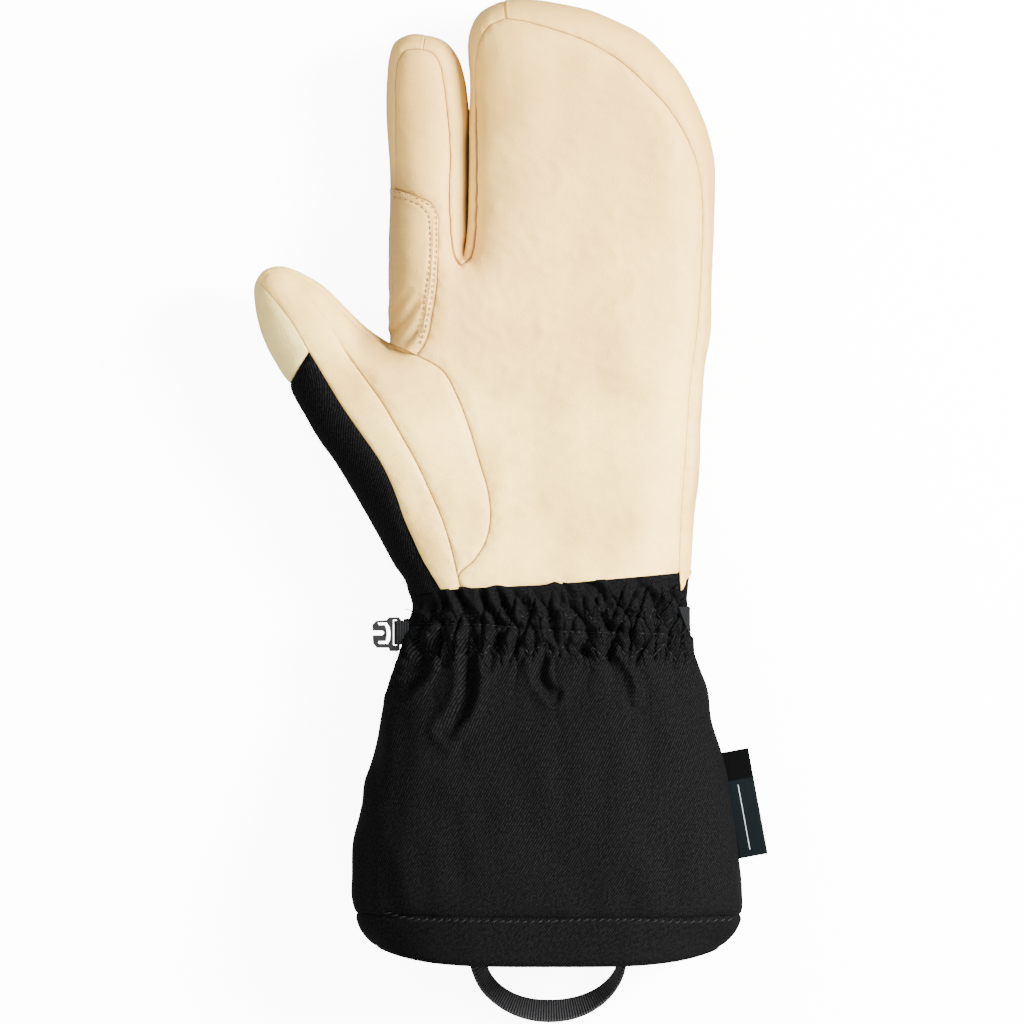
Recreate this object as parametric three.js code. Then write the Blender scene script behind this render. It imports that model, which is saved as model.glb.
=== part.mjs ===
// A three-finger ski mitt for the left hand, lying on its back with the palm up.
// X runs across the palm, Y from the cuff to the fingertips, Z up out of the palm.
import * as THREE from "three";

// Driving sizes, in millimetres
const HAND_LENGTH = 210; // wrist to the tip of the two-finger part
const HAND_WIDTH = 114; // across the palm, index finger included
const INDEX_WIDTH = 28; // left side of the hand to the cleft
const CLEFT_DEPTH = 90; // tip of the hand to the bottom of the cleft
const THUMB_REACH = 47; // how far the thumb stands out of the hand's left side
const HAND_THICKNESS = 40;
const INDEX_THICKNESS = 29;
const INDEX_RISE = 18; // height of the index finger's middle at its root
const THUMB_THICKNESS = 27;
const THUMB_RISE = 27; // height of the thumb's middle
const THUMB_MOUND = 3.5; // how far the ball of the thumb swells out of the palm
const TIP_LIFT = 5; // how far the fingertips curl up off the surface
const WRIST_WIDTH = 96.6;
const WRIST_THICKNESS = 38;
const WRIST_RISE = 24; // height of the wrist's middle
const CUFF_LENGTH = 127.4; // wrist to the edge of the hem
const CUFF_WIDTH = 137;
const CUFF_THICKNESS = 62; // before the cuff's underside is flattened
const CUFF_RISE = 28; // height of the cuff's middle
const LEATHER = 3; // padded leather wall
const FABRIC = 2; // gauntlet wall
const HEM_WALL = 2.6; // folded fabric of the hem
const SEAM_GAP = 0.3; // clearance between neighbouring pieces
const GATHER_COUNT = 28; // folds round the elastic wrist
const GATHER_DEPTH = 2.4; // deepest valley between two folds
const PATCH_PROUD = 0.5; // how far the wear patch stands out of the leather round it
const STRAP_WIDTH = 9;
const STRAP_THICKNESS = 1.2;
const LOOP_WIDTH = 10; // hem loop webbing
const LOOP_THICKNESS = 1.2;
const LOOP_SPAN = 52; // between the loop's two ends
const LOOP_DROP = 20.6; // hem edge to the bottom of the loop
const CLIP_LENGTH = 10;
const CLIP_HEIGHT = 11.9;
const CLIP_THICKNESS = 3;
const CLIP_SLOT = 1.3; // width of the slot that the webbing goes through
const TAB_AT = 0.785; // share of CLIP_LENGTH from its free end to the middle of that slot
const TAB_SPAN = [-0.32, 0.42].map((v) => v * 0.95); // the webbing's edges, shares of CLIP_HEIGHT
const LABEL_WIDTH = 8.8; // what shows of the side tag
const LABEL_LENGTH = 37;
const LABEL_THICKNESS = 1;

// Colour, roughness and metalness of each finish
const finish = (color, roughness) =>
  new THREE.MeshStandardMaterial({ color, roughness, metalness: 0 });
const TAN_LEATHER = finish(0xe3c9a0, 0.6);
const CAP_LEATHER = finish(0xcdc08f, 0.6);
const BLACK_FABRIC = finish(0x1b1b1d, 0.9);
const WEBBING = finish(0x2c2e30, 0.85);
const CLIP_PLASTIC = finish(0x3a3c40, 0.45);
const LABEL_FABRIC = finish(0x26333a, 0.8);

// Seam tables. Each pair of columns is a point: percent of HAND_WIDTH across from the wrist's
// middle, percent of HAND_LENGTH up from the wrist. Rows run from the wrist to a tip.

// Palm, wrist to cleft: thumb-side seam, split line, outer seam, outer edge of the hand
const PALM_ROWS = [
  [-27, 2, 0.9, 2.7, 40.5, 4.6, 43.4, 4.8],
  [-27.9, 3.8, 0.2, 4.2, 40.5, 6.3, 43.7, 6.7],
  [-22.7, 6.8, -1.4, 7, 40.6, 9, 44, 9.2],
  [-19.3, 9.8, -3.1, 9.8, 40.8, 11.7, 44.3, 11.7],
  [-17.8, 13.2, -5.2, 13.2, 41, 14.8, 44.9, 14.8],
  [-18.4, 18, -8.1, 18, 41.6, 19.3, 45.9, 19.3],
  [-20.9, 22.8, -10.9, 22.8, 42.2, 23.8, 46.5, 23.8],
  [-23.9, 28.2, -14, 28.2, 42.8, 28.7, 46.8, 28.7],
  [-27.6, 33.5, -16.9, 33.8, 43.4, 34, 47.2, 34],
  [-32.5, 38.2, -19.3, 39, 44.5, 39, 48, 39],
  [-40.5, 40.8, -21.2, 43.7, 45.6, 44, 49.5, 43.7],
  [-38.3, 42.5, -22.7, 47, 46.2, 47.3, 49.9, 47.3],
  [-35.7, 48, -24.7, 51.5, 46.8, 52, 50.2, 52],
  [-34.4, 52.5, -26.8, 56, 47.2, 56.3, 50.5, 56.3],
];

// Two-finger part, cleft to tip: inner edge, inner seam, outer seam, outer edge
const MAIN_ROWS = [
  [-25.5, 58, -24.2, 57.2, 47.5, 59.5, 50.7, 59.5],
  [-24.5, 61.2, -23, 60.5, 47.6, 63, 51, 63],
  [-24, 66, -22.5, 65.7, 47.3, 67.3, 51.2, 67.7],
  [-23.8, 71, -22.4, 70.8, 45.9, 72.2, 50.9, 73.3],
  [-23.8, 76.7, -22.5, 76.7, 42.3, 77, 48.6, 78.8],
  [-23.9, 82.7, -22.8, 82.5, 36.5, 81.8, 44.2, 84.2],
  [-24.3, 87.3, -23.1, 87, 29.4, 85.8, 36.8, 90.2],
  [-24.8, 90.7, -22.7, 90, 20.9, 89.8, 27, 94.8],
  [-24.5, 94, -21.2, 93.3, 11, 92.9, 14.7, 97.7],
  [-21.8, 97.4, -18.4, 95.5, 0.3, 95, 2.5, 99.5],
  [-14.1, 99.7, -13.8, 96.7, -7.7, 96.3, -6.7, 100],
];

// Index finger, cleft to tip: outer edge, outer seam, cleft seam, cleft edge.
// Up to the sixth row the outer seam is the edge of the wear patch.
const INDEX_ROWS = [
  [-49.1, 56.3, -34, 56.3, -28.5, 57.7, -26.3, 58.2],
  [-49.1, 60.7, -33.8, 60.8, -29.4, 60.5, -25.6, 60.8],
  [-49, 63.7, -33.9, 63.7, -29.8, 63.7, -25.2, 63.8],
  [-48.9, 65.7, -35.6, 65.7, -30.1, 66, -25, 66.2],
  [-48.8, 67.2, -41.4, 67.3, -30.1, 67.7, -24.9, 68],
  [-48.8, 68.7, -47.6, 68.5, -30.1, 69.3, -24.8, 69.7],
  [-48.9, 72, -47.6, 72, -29.8, 72.3, -24.8, 72.7],
  [-49.6, 77, -47.6, 77, -30, 77, -24.8, 77.3],
  [-50, 82.2, -47.6, 82.2, -30.9, 82, -24.9, 82.5],
  [-49.8, 87, -47.6, 86.7, -32.1, 86.7, -25.7, 87.3],
  [-49.2, 90.5, -46.6, 89.8, -33.6, 89.8, -27.8, 90.5],
  [-47.4, 93, -44.5, 91.5, -36.2, 91.4, -31.9, 93.1],
  [-42.9, 94.3, -41.7, 91.9, -38.3, 91.8, -37.7, 94.2],
];
const PATCH_END = 5; // row of INDEX_ROWS where the patch meets the index gusset

// Root of the index finger, crotch to cleft: outer edge of the hand, seam on its back
const ROOT_ROWS = [
  [-48.8, 42.8, -40.5, 40.8],
  [-48.8, 44.7, -45.7, 43.7],
  [-49, 48.3, -47.4, 48],
  [-49.1, 52.3, -47.5, 52.3],
];
const BACK_SEAM_X = -47.5; // the seam on the back beside the patch, above the cleft

// Thumb, wrist to the end of the cap seam: outer edge, outer seam, middle seam
const THUMB_ROWS = [
  [-42.9, 0.7, -33.4, 1.6, -27, 2],
  [-44.2, 3.2, -35.9, 3.8, -27.9, 3.8],
  [-47.2, 5.7, -39, 6.5, -29.1, 6.7],
  [-50.6, 8.8, -41.7, 9.7, -30.5, 9.8],
  [-54.6, 13, -44.5, 13.2, -32.5, 13.2],
  [-59.5, 17.7, -47.9, 18.5, -36.2, 17.8],
  [-64.7, 22.3, -51.8, 23, -40.5, 22.8],
  [-70.6, 26.8, -57.7, 27.7, -45.7, 27.8],
  [-75.5, 31.3, -63.5, 32.3, -51.5, 33.2],
  [-78.2, 34, -68.4, 36.7, -56.1, 36.7],
  [-79.8, 36, -73.3, 41.3, -61, 40.5],
  [-83.1, 39, -77, 45, -65.6, 44.5],
  [-86.5, 42.5, -80.4, 47.7, -69.6, 47.7],
  [-88.8, 46, -83.7, 50, -73.6, 50.5],
  [-89.9, 48.7, -86.2, 51.5, -76.7, 52.3],
];
const CAP_START = 10; // row of THUMB_ROWS where the cap begins

// Inner side of the thumb, crotch to tip and over it: seam, edge, seam on the back
const THUMB_SIDE_ROWS = [
  [-40.5, 40.8, -48.8, 42.8, -40.5, 40.8],
  [-47.9, 42.1, -50.6, 43.4, -50.3, 41.3],
  [-55.5, 44.6, -54.6, 44.9, -58.6, 43.7],
  [-63.2, 48.5, -62.4, 48.8, -66, 47.2],
  [-70.7, 52.2, -69.9, 52.6, -72.4, 50.2],
  [-74.8, 53.5, -73.9, 54, -76.7, 51.7],
  [-78.2, 54.5, -77.6, 55, -79.8, 52.5],
  [-81.6, 55, -81.6, 55.7, -81.9, 52.8],
  [-86.5, 54.3, -87.3, 54.9, -84.4, 52.8],
  [-88.5, 52.8, -89.6, 53.2, -86.2, 52.3],
];

// Gauntlet rows: share of CUFF_LENGTH below the wrist at the left side and at the right side,
// and the depth of the gathers there as a share of GATHER_DEPTH
const GAUNTLET_ROWS = [
  { left: -0.011, right: -0.08, gather: 0.25 },
  { left: 0.01, right: -0.03, gather: 0.8 },
  { left: 0.03, right: 0.02, gather: 1 },
  { left: 0.058, right: 0.09, gather: 0.6 },
  { left: 0.1, right: 0.15, gather: 1 },
  { left: 0.15, right: 0.21, gather: 0.75 },
  { left: 0.22, right: 0.275, gather: 0.45 },
  { left: 0.32, right: 0.36, gather: 0.2 },
  { left: 0.45, right: 0.475, gather: 0.08 },
  { left: 0.6, right: 0.61, gather: 0 },
  { left: 0.74, right: 0.745, gather: 0 },
  { left: 0.858, right: 0.863, gather: 0 },
];

// Side lines of the cuff: share of CUFF_LENGTH below the wrist, then how far each side has gone
// from the wrist's half width (0) to the cuff's half width (1)
const CUFF_SIDES = [
  { down: 0, left: 0, right: 0 },
  { down: 0.082, left: 0.09, right: 0.05 },
  { down: 0.165, left: 0.26, right: 0.17 },
  { down: 0.247, left: 0.4, right: 0.35 },
  { down: 0.33, left: 0.54, right: 0.42 },
  { down: 0.412, left: 0.64, right: 0.59 },
  { down: 0.494, left: 0.78, right: 0.73 },
  { down: 0.577, left: 0.89, right: 0.83 },
  { down: 0.659, left: 0.97, right: 0.91 },
  { down: 0.742, left: 1, right: 0.96 },
  { down: 0.824, left: 0.99, right: 0.97 },
  { down: 0.865, left: 0.95, right: 0.94 },
  { down: 0.907, left: 0.85, right: 0.83 },
  { down: 0.948, left: 0.61, right: 0.59 },
];
const HEM_TOP = { left: 0.858, right: 0.863 }; // stitch line of the hem, shares of CUFF_LENGTH
const HEM_SIDE = 0.948; // where the hem's edge meets the side lines
const HEM_ROWS = [0, 0.35, 0.7, 1]; // shares of the hem's depth

// Percent across and percent up, at the stops between which the hand stretches
const STOP_X = { thumb: -90.1, side: -49.1, cleft: -24.4, outer: 51.2 };
const STOP_Y = { wrist: 0, cleft: 57.2, tip: 100 };
const WRIST_SHARE = 84.7; // WRIST_WIDTH as a percent of HAND_WIDTH when both are as named above

const { sqrt, hypot, abs, min, max, atan, cos, sin, sign, exp, PI } = Math;
const mix = (a, b, t) => a + (b - a) * t;
const ease = (t) => {
  const c = min(max(t, 0), 1);
  return c * c * (3 - 2 * c);
};
const minus = (a, b) => a.map((v, i) => v - b[i]);
const along = (p, direction, length) => p.map((v, i) => v + direction[i] * length);
const mixPoint = (a, b, t) => a.map((v, i) => mix(v, b[i], t));
const cross = (a, b) => [
  a[1] * b[2] - a[2] * b[1],
  a[2] * b[0] - a[0] * b[2],
  a[0] * b[1] - a[1] * b[0],
];
const dot = (a, b) => a.reduce((sum, v, i) => sum + v * b[i], 0);
const unit = (a) => {
  const length = hypot(...a) || 1;
  return a.map((v) => v / length);
};

// Percent across to millimetres: each stretch between two stops has its own width
function acrossOf(percent) {
  const side = (STOP_X.side * HAND_WIDTH) / 100;
  const cleft = side + INDEX_WIDTH;
  const outer = (STOP_X.outer * HAND_WIDTH) / 100;
  const share = (from, to) => (percent - from) / (to - from);
  if (percent < STOP_X.side) return mix(side, side - THUMB_REACH, share(STOP_X.side, STOP_X.thumb));
  if (percent < STOP_X.cleft) return mix(side, cleft, share(STOP_X.side, STOP_X.cleft));
  return mix(cleft, outer, share(STOP_X.cleft, STOP_X.outer));
}

// Percent up to millimetres, with the bottom of the cleft as the stop between
function upOf(percent) {
  const cleft = HAND_LENGTH - CLEFT_DEPTH;
  if (percent < STOP_Y.cleft) return (cleft * percent) / STOP_Y.cleft;
  return mix(cleft, HAND_LENGTH, (percent - STOP_Y.cleft) / (STOP_Y.tip - STOP_Y.cleft));
}

// A table point in millimetres; near the wrist the width follows WRIST_WIDTH
function place(percentX, percentY) {
  const y = upOf(percentY);
  const pull = (100 * WRIST_WIDTH) / (WRIST_SHARE * HAND_WIDTH);
  return [acrossOf(percentX) * mix(pull, 1, ease(percentY / 20)), y];
}

// Column n of a table, as points
const column = (rows, n) => rows.map((row) => place(row[2 * n], row[2 * n + 1]));

// Half width of the cuff on one side (-1 left, 1 right), at a share of its length below the wrist
function cuffHalf(side, down) {
  const name = side < 0 ? "left" : "right";
  const next = CUFF_SIDES.findIndex((row) => row.down > down);
  const at = next < 0 ? CUFF_SIDES.length - 1 : max(next, 1);
  const [a, b] = [CUFF_SIDES[at - 1], CUFF_SIDES[at]];
  const share = mix(a[name], b[name], max((down - a.down) / (b.down - a.down), 0));
  return mix(WRIST_WIDTH, CUFF_WIDTH, min(share, 1.02)) / 2;
}
const cuffSide = (side) =>
  CUFF_SIDES.map((row) => [side * cuffHalf(side, row.down), -row.down * CUFF_LENGTH]);

// A smooth line through knots, cut in `steps` between each two (a cubic whose slope at a knot
// weighs the two neighbouring chords by each other's length)
function smooth(knots, steps) {
  const chord = knots.slice(1).map((p, i) => hypot(...minus(p, knots[i])));
  const rate = (i) => minus(knots[i + 1], knots[i]).map((v) => v / chord[i]);
  const slope = knots.map((_, i) => {
    if (i === 0) return rate(0);
    if (i === knots.length - 1) return rate(i - 1);
    return mixPoint(rate(i - 1), rate(i), chord[i - 1] / (chord[i - 1] + chord[i]));
  });
  const line = [];
  chord.forEach((h, i) => {
    for (let k = 0; k < steps; k++) {
      const t = k / steps;
      const rise = 3 * t * t - 2 * t * t * t;
      line.push(
        knots[i].map(
          (v, n) =>
            mix(v, knots[i + 1][n], rise) +
            h * t * (1 - t) * ((1 - t) * slope[i][n] - t * slope[i + 1][n]),
        ),
      );
    }
  });
  line.push(knots.at(-1));
  return line;
}

// The mitt's silhouette seen from the palm: up the thumb, down to its crotch, over the index
// finger, through the cleft, over the tip and down the outer side to the open cuff
const CROTCH = place(ROOT_ROWS[0][0], ROOT_ROWS[0][1]);
const CLEFT_BOTTOM = place(-26, STOP_Y.cleft);
const openEnd = (side) => [side * cuffHalf(side, 1), -1.5 * CUFF_LENGTH];
const thumbLine = smooth(
  [
    ...cuffSide(-1).reverse(),
    ...column(THUMB_ROWS, 0),
    ...column(THUMB_SIDE_ROWS, 1).reverse(),
  ],
  3,
);
const fingerLine = smooth(
  [
    ...column(ROOT_ROWS, 0),
    ...column(INDEX_ROWS, 0),
    ...column(INDEX_ROWS, 3).reverse(),
    CLEFT_BOTTOM,
    ...column(MAIN_ROWS, 0),
    ...column(MAIN_ROWS, 3).reverse(),
    ...column(PALM_ROWS, 3).reverse(),
    ...cuffSide(1),
  ],
  3,
);
const outline = [openEnd(-1), ...thumbLine, ...fingerLine.slice(1), openEnd(1)];

// Each stretch of the silhouette, with its direction and the direction into the mitt
const edges = outline.slice(1).map((end, i) => {
  const start = outline[i];
  const run = minus(end, start);
  const length = hypot(...run);
  const way = unit(run);
  return { start, way, length, inward: [way[1], -way[0]] };
});

// Smooth distance into the mitt from its silhouette: the inverse cubes of the distances to all
// its points, added up along each stretch, give the distance to the nearest and round its ridges
function depthAt(x, y) {
  let sum = 0;
  for (const { start, way, length } of edges) {
    const dx = x - start[0];
    const dy = y - start[1];
    const d = max(abs(dx * way[1] - dy * way[0]), 0.01);
    const foot = dx * way[0] + dy * way[1];
    const part = (s) => s / (2 * d * d * (d * d + s * s)) + atan(s / d) / (2 * d * d * d);
    sum += part(length - foot) - part(-foot);
  }
  return (sum / (PI / 2)) ** (-1 / 3);
}

// Direction into the mitt near the silhouette, the mean of its close stretches
function inwardNear(x, y) {
  const total = [0, 0];
  for (const { start, way, length, inward } of edges) {
    const foot = min(max((x - start[0]) * way[0] + (y - start[1]) * way[1], 0), length);
    const gap = hypot(x - start[0] - way[0] * foot, y - start[1] - way[1] * foot);
    const weight = length / (gap * gap + 0.16) ** 2;
    total[0] += inward[0] * weight;
    total[1] += inward[1] * weight;
  }
  return unit(total);
}

// How the mitt's section is rounded in each region: height of its middle, half its thickness,
// the depth from the silhouette over which it rounds, and how square that rounding is
const SECTIONS = {
  palm: [HAND_THICKNESS / 2, HAND_THICKNESS / 2, 21, 2.5],
  index: [INDEX_RISE, INDEX_THICKNESS / 2, 15.5, 2.1],
  thumb: [THUMB_RISE, THUMB_THICKNESS / 2, 14.5, 2],
  wrist: [WRIST_RISE, WRIST_THICKNESS / 2, 36, 2.2],
  cuff: [CUFF_RISE, CUFF_THICKNESS / 2, 50, 2.3],
};
const THUMB_WAY = unit([-110, 177]); // from the crotch along the border of the thumb's root
const LOBE_BLEND = 30; // length below the cleft over which the index finger joins the palm
const CLEFT_LEAN = 1.8; // how far the cleft leans towards the index finger at its bottom

function indexShare(x, y) {
  const [, bottom] = CLEFT_BOTTOM;
  const up = ease((y - bottom + LOBE_BLEND - 22) / LOBE_BLEND);
  const line = acrossOf(STOP_X.cleft) - CLEFT_LEAN * ease(1 - (y - bottom) / 18);
  const spread = 0.4 + 0.6 * max(bottom - y, 0);
  return up * ease(0.5 + (line - x) / (2 * spread));
}

function thumbShare(x, y) {
  const [dx, dy] = minus([x, y], CROTCH);
  const out = -dx * THUMB_WAY[1] + dy * THUMB_WAY[0];
  return ease((out + 6) / 22) * ease((y - 8) / 45);
}

function sectionAt(x, y) {
  let section = mixPoint(SECTIONS.palm, SECTIONS.index, indexShare(x, y));
  section = mixPoint(section, SECTIONS.thumb, thumbShare(x, y));
  section[0] += TIP_LIFT * ease((y / HAND_LENGTH - 0.72) / 0.28);
  section = mixPoint(section, SECTIONS.wrist, 1 - ease(y / (0.16 * HAND_LENGTH)));
  return mixPoint(section, SECTIONS.cuff, ease((-y / CUFF_LENGTH - 0.06) / 0.75));
}

// Share of the full half thickness at a share of the rounding depth
const profile = (q, power) => (1 - (1 - min(q, 1)) ** power) ** (1 / power);

// The ball of the thumb swells out of the palm in a soft oval
const MOUND = { centre: place(-36, 24), half: [16, 34], fade: 10 };
function mound(x, y, depth) {
  const [dx, dy] = minus([x, y], MOUND.centre);
  const alongThumb = (dx * THUMB_WAY[0] + dy * THUMB_WAY[1]) / MOUND.half[1];
  const acrossThumb = (dx * THUMB_WAY[1] - dy * THUMB_WAY[0]) / MOUND.half[0];
  return (
    THUMB_MOUND * exp(-(alongThumb ** 2) - acrossThumb ** 2) * ease(depth / MOUND.fade)
  );
}

// The mitt's skin: height of the front (side 1) or the back (side -1) above a point. The back
// is a little fuller in the palm and is flattened where it rests at z = 0.
function heightAt(x, y, side) {
  const [middle, half, round, power] = sectionAt(x, y);
  const depth = depthAt(x, y);
  const rise = half * profile(depth / round, power);
  if (side > 0) return middle + rise + mound(x, y, depth);
  return max(middle - 1.1 * rise, 0);
}

// Direction out of the skin at a point of the front or back
function outwardAt(x, y, side) {
  const [middle, half, round, power] = sectionAt(x, y);
  const depth = depthAt(x, y);
  if (side < 0 && middle - 1.1 * half * profile(depth / round, power) <= 0) return [0, 0, -1];
  const step = 0.2;
  const inward =
    depth < 1.2
      ? inwardNear(x, y)
      : [
          (depthAt(x + step, y) - depthAt(x - step, y)) / (2 * step),
          (depthAt(x, y + step) - depthAt(x, y - step)) / (2 * step),
        ];
  const q = min(depth / round, 1);
  const level = profile(q, power);
  const flat = ((1 - q) ** (power - 1) / round) * half;
  return unit([-inward[0] * flat, -inward[1] * flat, side * level ** (power - 1)]);
}

// A vertex of the skin: its point and its direction outwards, raised by `proud`
function skin([x, y], side, proud = 0) {
  const normal = outwardAt(x, y, side);
  return { point: along([x, y, heightAt(x, y, side)], normal, proud), normal };
}

// Faces in a grid of vertices, with vertices at the same place shared
class Cloth {
  constructor() {
    this.vertices = [];
    this.faces = [];
    this.places = new Map();
  }

  add(vertex) {
    const key = vertex.point.map((v) => Math.round(v * 200)).join(",");
    if (!this.places.has(key)) {
      this.places.set(key, this.vertices.length);
      this.vertices.push({ point: [...vertex.point], normal: vertex.normal });
    }
    return this.places.get(key);
  }

  // Adds a grid of vertices as faces that look along the vertices' own directions
  grid(rows) {
    const ids = rows.map((row) => row.map((vertex) => this.add(vertex)));
    const faces = [];
    for (let i = 1; i < ids.length; i++) {
      for (let j = 1; j < ids[i].length; j++) {
        const [a, b, c, d] = [ids[i - 1][j - 1], ids[i - 1][j], ids[i][j], ids[i][j - 1]];
        faces.push([a, b, c], [a, c, d]);
      }
    }
    const whole = faces.filter(([a, b, c]) => a !== b && b !== c && c !== a);
    const facing = whole.reduce((sum, face) => sum + this.facing(face), 0);
    this.faces.push(...(facing < 0 ? whole.map(([a, b, c]) => [a, c, b]) : whole));
    return this;
  }

  facing([a, b, c]) {
    const [p, q, r] = [a, b, c].map((i) => this.vertices[i].point);
    return dot(cross(minus(q, p), minus(r, p)), this.vertices[a].normal);
  }

  // Edges that only one face has, in that face's order
  border() {
    const seen = new Set(this.faces.flatMap(([a, b, c]) => [`${a},${b}`, `${b},${c}`, `${c},${a}`]));
    return this.faces
      .flatMap(([a, b, c]) => [[a, b], [b, c], [c, a]])
      .filter(([a, b]) => !seen.has(`${b},${a}`));
  }

  // Draws the border in by `gap`, along the surface
  inset(gap) {
    const inward = new Map();
    for (const [a, b] of this.border()) {
      const way = minus(this.vertices[b].point, this.vertices[a].point);
      for (const i of [a, b]) {
        const into = unit(cross(this.vertices[i].normal, way));
        inward.set(i, [...(inward.get(i) ?? []), into]);
      }
    }
    for (const [i, [p, q]] of inward) {
      const reach = gap / max(1 + dot(p, q), 0.25);
      this.vertices[i].point = along(along(this.vertices[i].point, p, reach), q, reach);
    }
    return this;
  }

  // The cloth as a closed wall of the given thickness, its outer face where the cloth is
  wall(thickness) {
    this.inset(SEAM_GAP / 2);
    const count = this.vertices.length;
    const outer = this.vertices.map((v) => v.point);
    const inner = this.vertices.map((v) => along(v.point, v.normal, -thickness));
    const faces = this.faces.flatMap(([a, b, c]) => [
      [a, b, c],
      [a + count, c + count, b + count],
    ]);
    // Neighbours cut the twisted side of their shared seam along the same diagonal
    const order = ([x, y, z]) => x + 1.7 * y + 0.3 * z;
    for (const [a, b] of this.border()) {
      if (order(outer[a]) < order(outer[b])) faces.push([b, a, b + count], [a, a + count, b + count]);
      else faces.push([b, a, a + count], [b, a + count, b + count]);
    }
    return geometryOf([...outer, ...inner], faces);
  }
}

function geometryOf(points, faces) {
  const geometry = new THREE.BufferGeometry();
  geometry.setAttribute("position", new THREE.Float32BufferAttribute(points.flat(), 3));
  geometry.setIndex(faces.flat());
  geometry.computeVertexNormals();
  return geometry;
}

// Skin vertices of a panel: straight across between two seams, row by row
const panelRows = (from, to, columns, side) =>
  from.map((start, i) =>
    Array.from({ length: columns + 1 }, (_, j) => skin(mixPoint(start, to[i], j / columns), side)),
  );

// Skin vertices of a strip that goes round the silhouette: from a seam on the front, over the
// edge, to a seam on the back. Squared steps keep its rows even in the round section.
const stripRows = (front, edge, back, frontSteps, backSteps, proud = 0) =>
  edge.map((rim, i) => {
    const row = [];
    for (let k = -frontSteps; k <= backSteps; k++) {
      const t = k < 0 ? k / frontSteps : k / backSteps;
      const raised = proud * (1 - max(t, 0));
      row.push(skin(mixPoint(rim, k < 0 ? front[i] : back[i], t * t), k < 0 ? 1 : -1, raised));
    }
    return row;
  });

// Seams and edges of the hand, wrist to tip
const thumbSeam = column(PALM_ROWS, 0);
const splitLine = column(PALM_ROWS, 1);
const indexInner = [...splitLine, ...column(INDEX_ROWS, 2)];
const indexOuter = [...thumbSeam, ...column(INDEX_ROWS, 1)];
const mainInner = [...splitLine, ...column(MAIN_ROWS, 1)];
const mainOuter = [...column(PALM_ROWS, 2), ...column(MAIN_ROWS, 2)];
const rootBack = [
  ...column(ROOT_ROWS, 1),
  ...column(INDEX_ROWS.slice(0, PATCH_END), 1).map(([, y]) => [acrossOf(BACK_SEAM_X), y]),
];
const patchRows = PALM_ROWS.length - ROOT_ROWS.length; // row of the hand where the patch starts
const indexBack = [
  ...thumbSeam.slice(0, patchRows),
  ...rootBack,
  ...column(INDEX_ROWS.slice(PATCH_END), 1),
];
const midSeam = column(THUMB_ROWS, 2);
const outerSeam = column(THUMB_ROWS, 1);
const thumbSide = [0, 1, 2].map((n) => column(THUMB_SIDE_ROWS, n));
const TIP_ROWS = 4; // rows of THUMB_SIDE_ROWS past the end of the thumb's inner seam

function palmPanel() {
  return new Cloth()
    .grid(panelRows(indexOuter, indexInner, 5, 1))
    .grid(panelRows(mainInner, mainOuter, 9, 1))
    .wall(LEATHER);
}

function backPanel() {
  return new Cloth()
    .grid(panelRows(indexBack, indexInner, 5, -1))
    .grid(panelRows(mainInner, mainOuter, 9, -1))
    .wall(LEATHER);
}

function outerGusset() {
  const seam = [...mainOuter, mainInner.at(-1)];
  const edge = [...column(PALM_ROWS, 3), ...column(MAIN_ROWS, 3), column(MAIN_ROWS, 0).at(-1)];
  return new Cloth().grid(stripRows(seam, edge, seam, 3, 3)).wall(LEATHER);
}

function fourchette() {
  const seam = [
    ...column(INDEX_ROWS, 2).reverse(),
    splitLine.at(-1),
    ...column(MAIN_ROWS, 1),
  ];
  const edge = [...column(INDEX_ROWS, 3).reverse(), CLEFT_BOTTOM, ...column(MAIN_ROWS, 0)];
  return new Cloth().grid(stripRows(seam, edge, seam, 3, 3)).wall(LEATHER);
}

function indexGusset() {
  const rows = INDEX_ROWS.slice(PATCH_END);
  const seam = [...column(rows, 1), column(rows, 2).at(-1)];
  const edge = [...column(rows, 0), column(rows, 3).at(-1)];
  return new Cloth().grid(stripRows(seam, edge, seam, 3, 3)).wall(LEATHER);
}

function indexPatch() {
  const front = indexOuter.slice(patchRows, PALM_ROWS.length + PATCH_END + 1);
  const edge = [...column(ROOT_ROWS, 0), ...column(INDEX_ROWS.slice(0, PATCH_END + 1), 0)];
  const back = indexBack.slice(patchRows, PALM_ROWS.length + PATCH_END + 1);
  return new Cloth()
    .grid(stripRows(front, edge, back, 6, 2, PATCH_PROUD))
    .wall(LEATHER + PATCH_PROUD);
}

function thumbPalm() {
  const inner = [...thumbSeam.slice(1, patchRows), ...thumbSide[0].slice(0, -2)];
  const [tipInner] = thumbSide[0].slice(-3);
  const middle = [thumbSeam[1], ...midSeam.slice(2), mixPoint(midSeam.at(-1), tipInner, 0.5)];
  const rows = inner.slice(0, middle.length);
  return new Cloth()
    .grid(panelRows(middle, rows, 4, 1))
    .grid(panelRows([middle.at(-1), tipInner], [rows.at(-1), inner[rows.length]], 4, 1))
    .wall(LEATHER);
}

function thumbStrip() {
  const tip = thumbSide[0].slice(-3);
  const half = mixPoint(midSeam.at(-1), tip[0], 0.5);
  return new Cloth()
    .grid(panelRows([...outerSeam, tip[2], tip[1]], [...midSeam, half, tip[0]], 2, 1))
    .wall(LEATHER);
}

function thumbGusset() {
  const [front, edge, back] = thumbSide;
  return new Cloth().grid(stripRows(front, edge, back, 2, 4)).wall(LEATHER);
}

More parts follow.
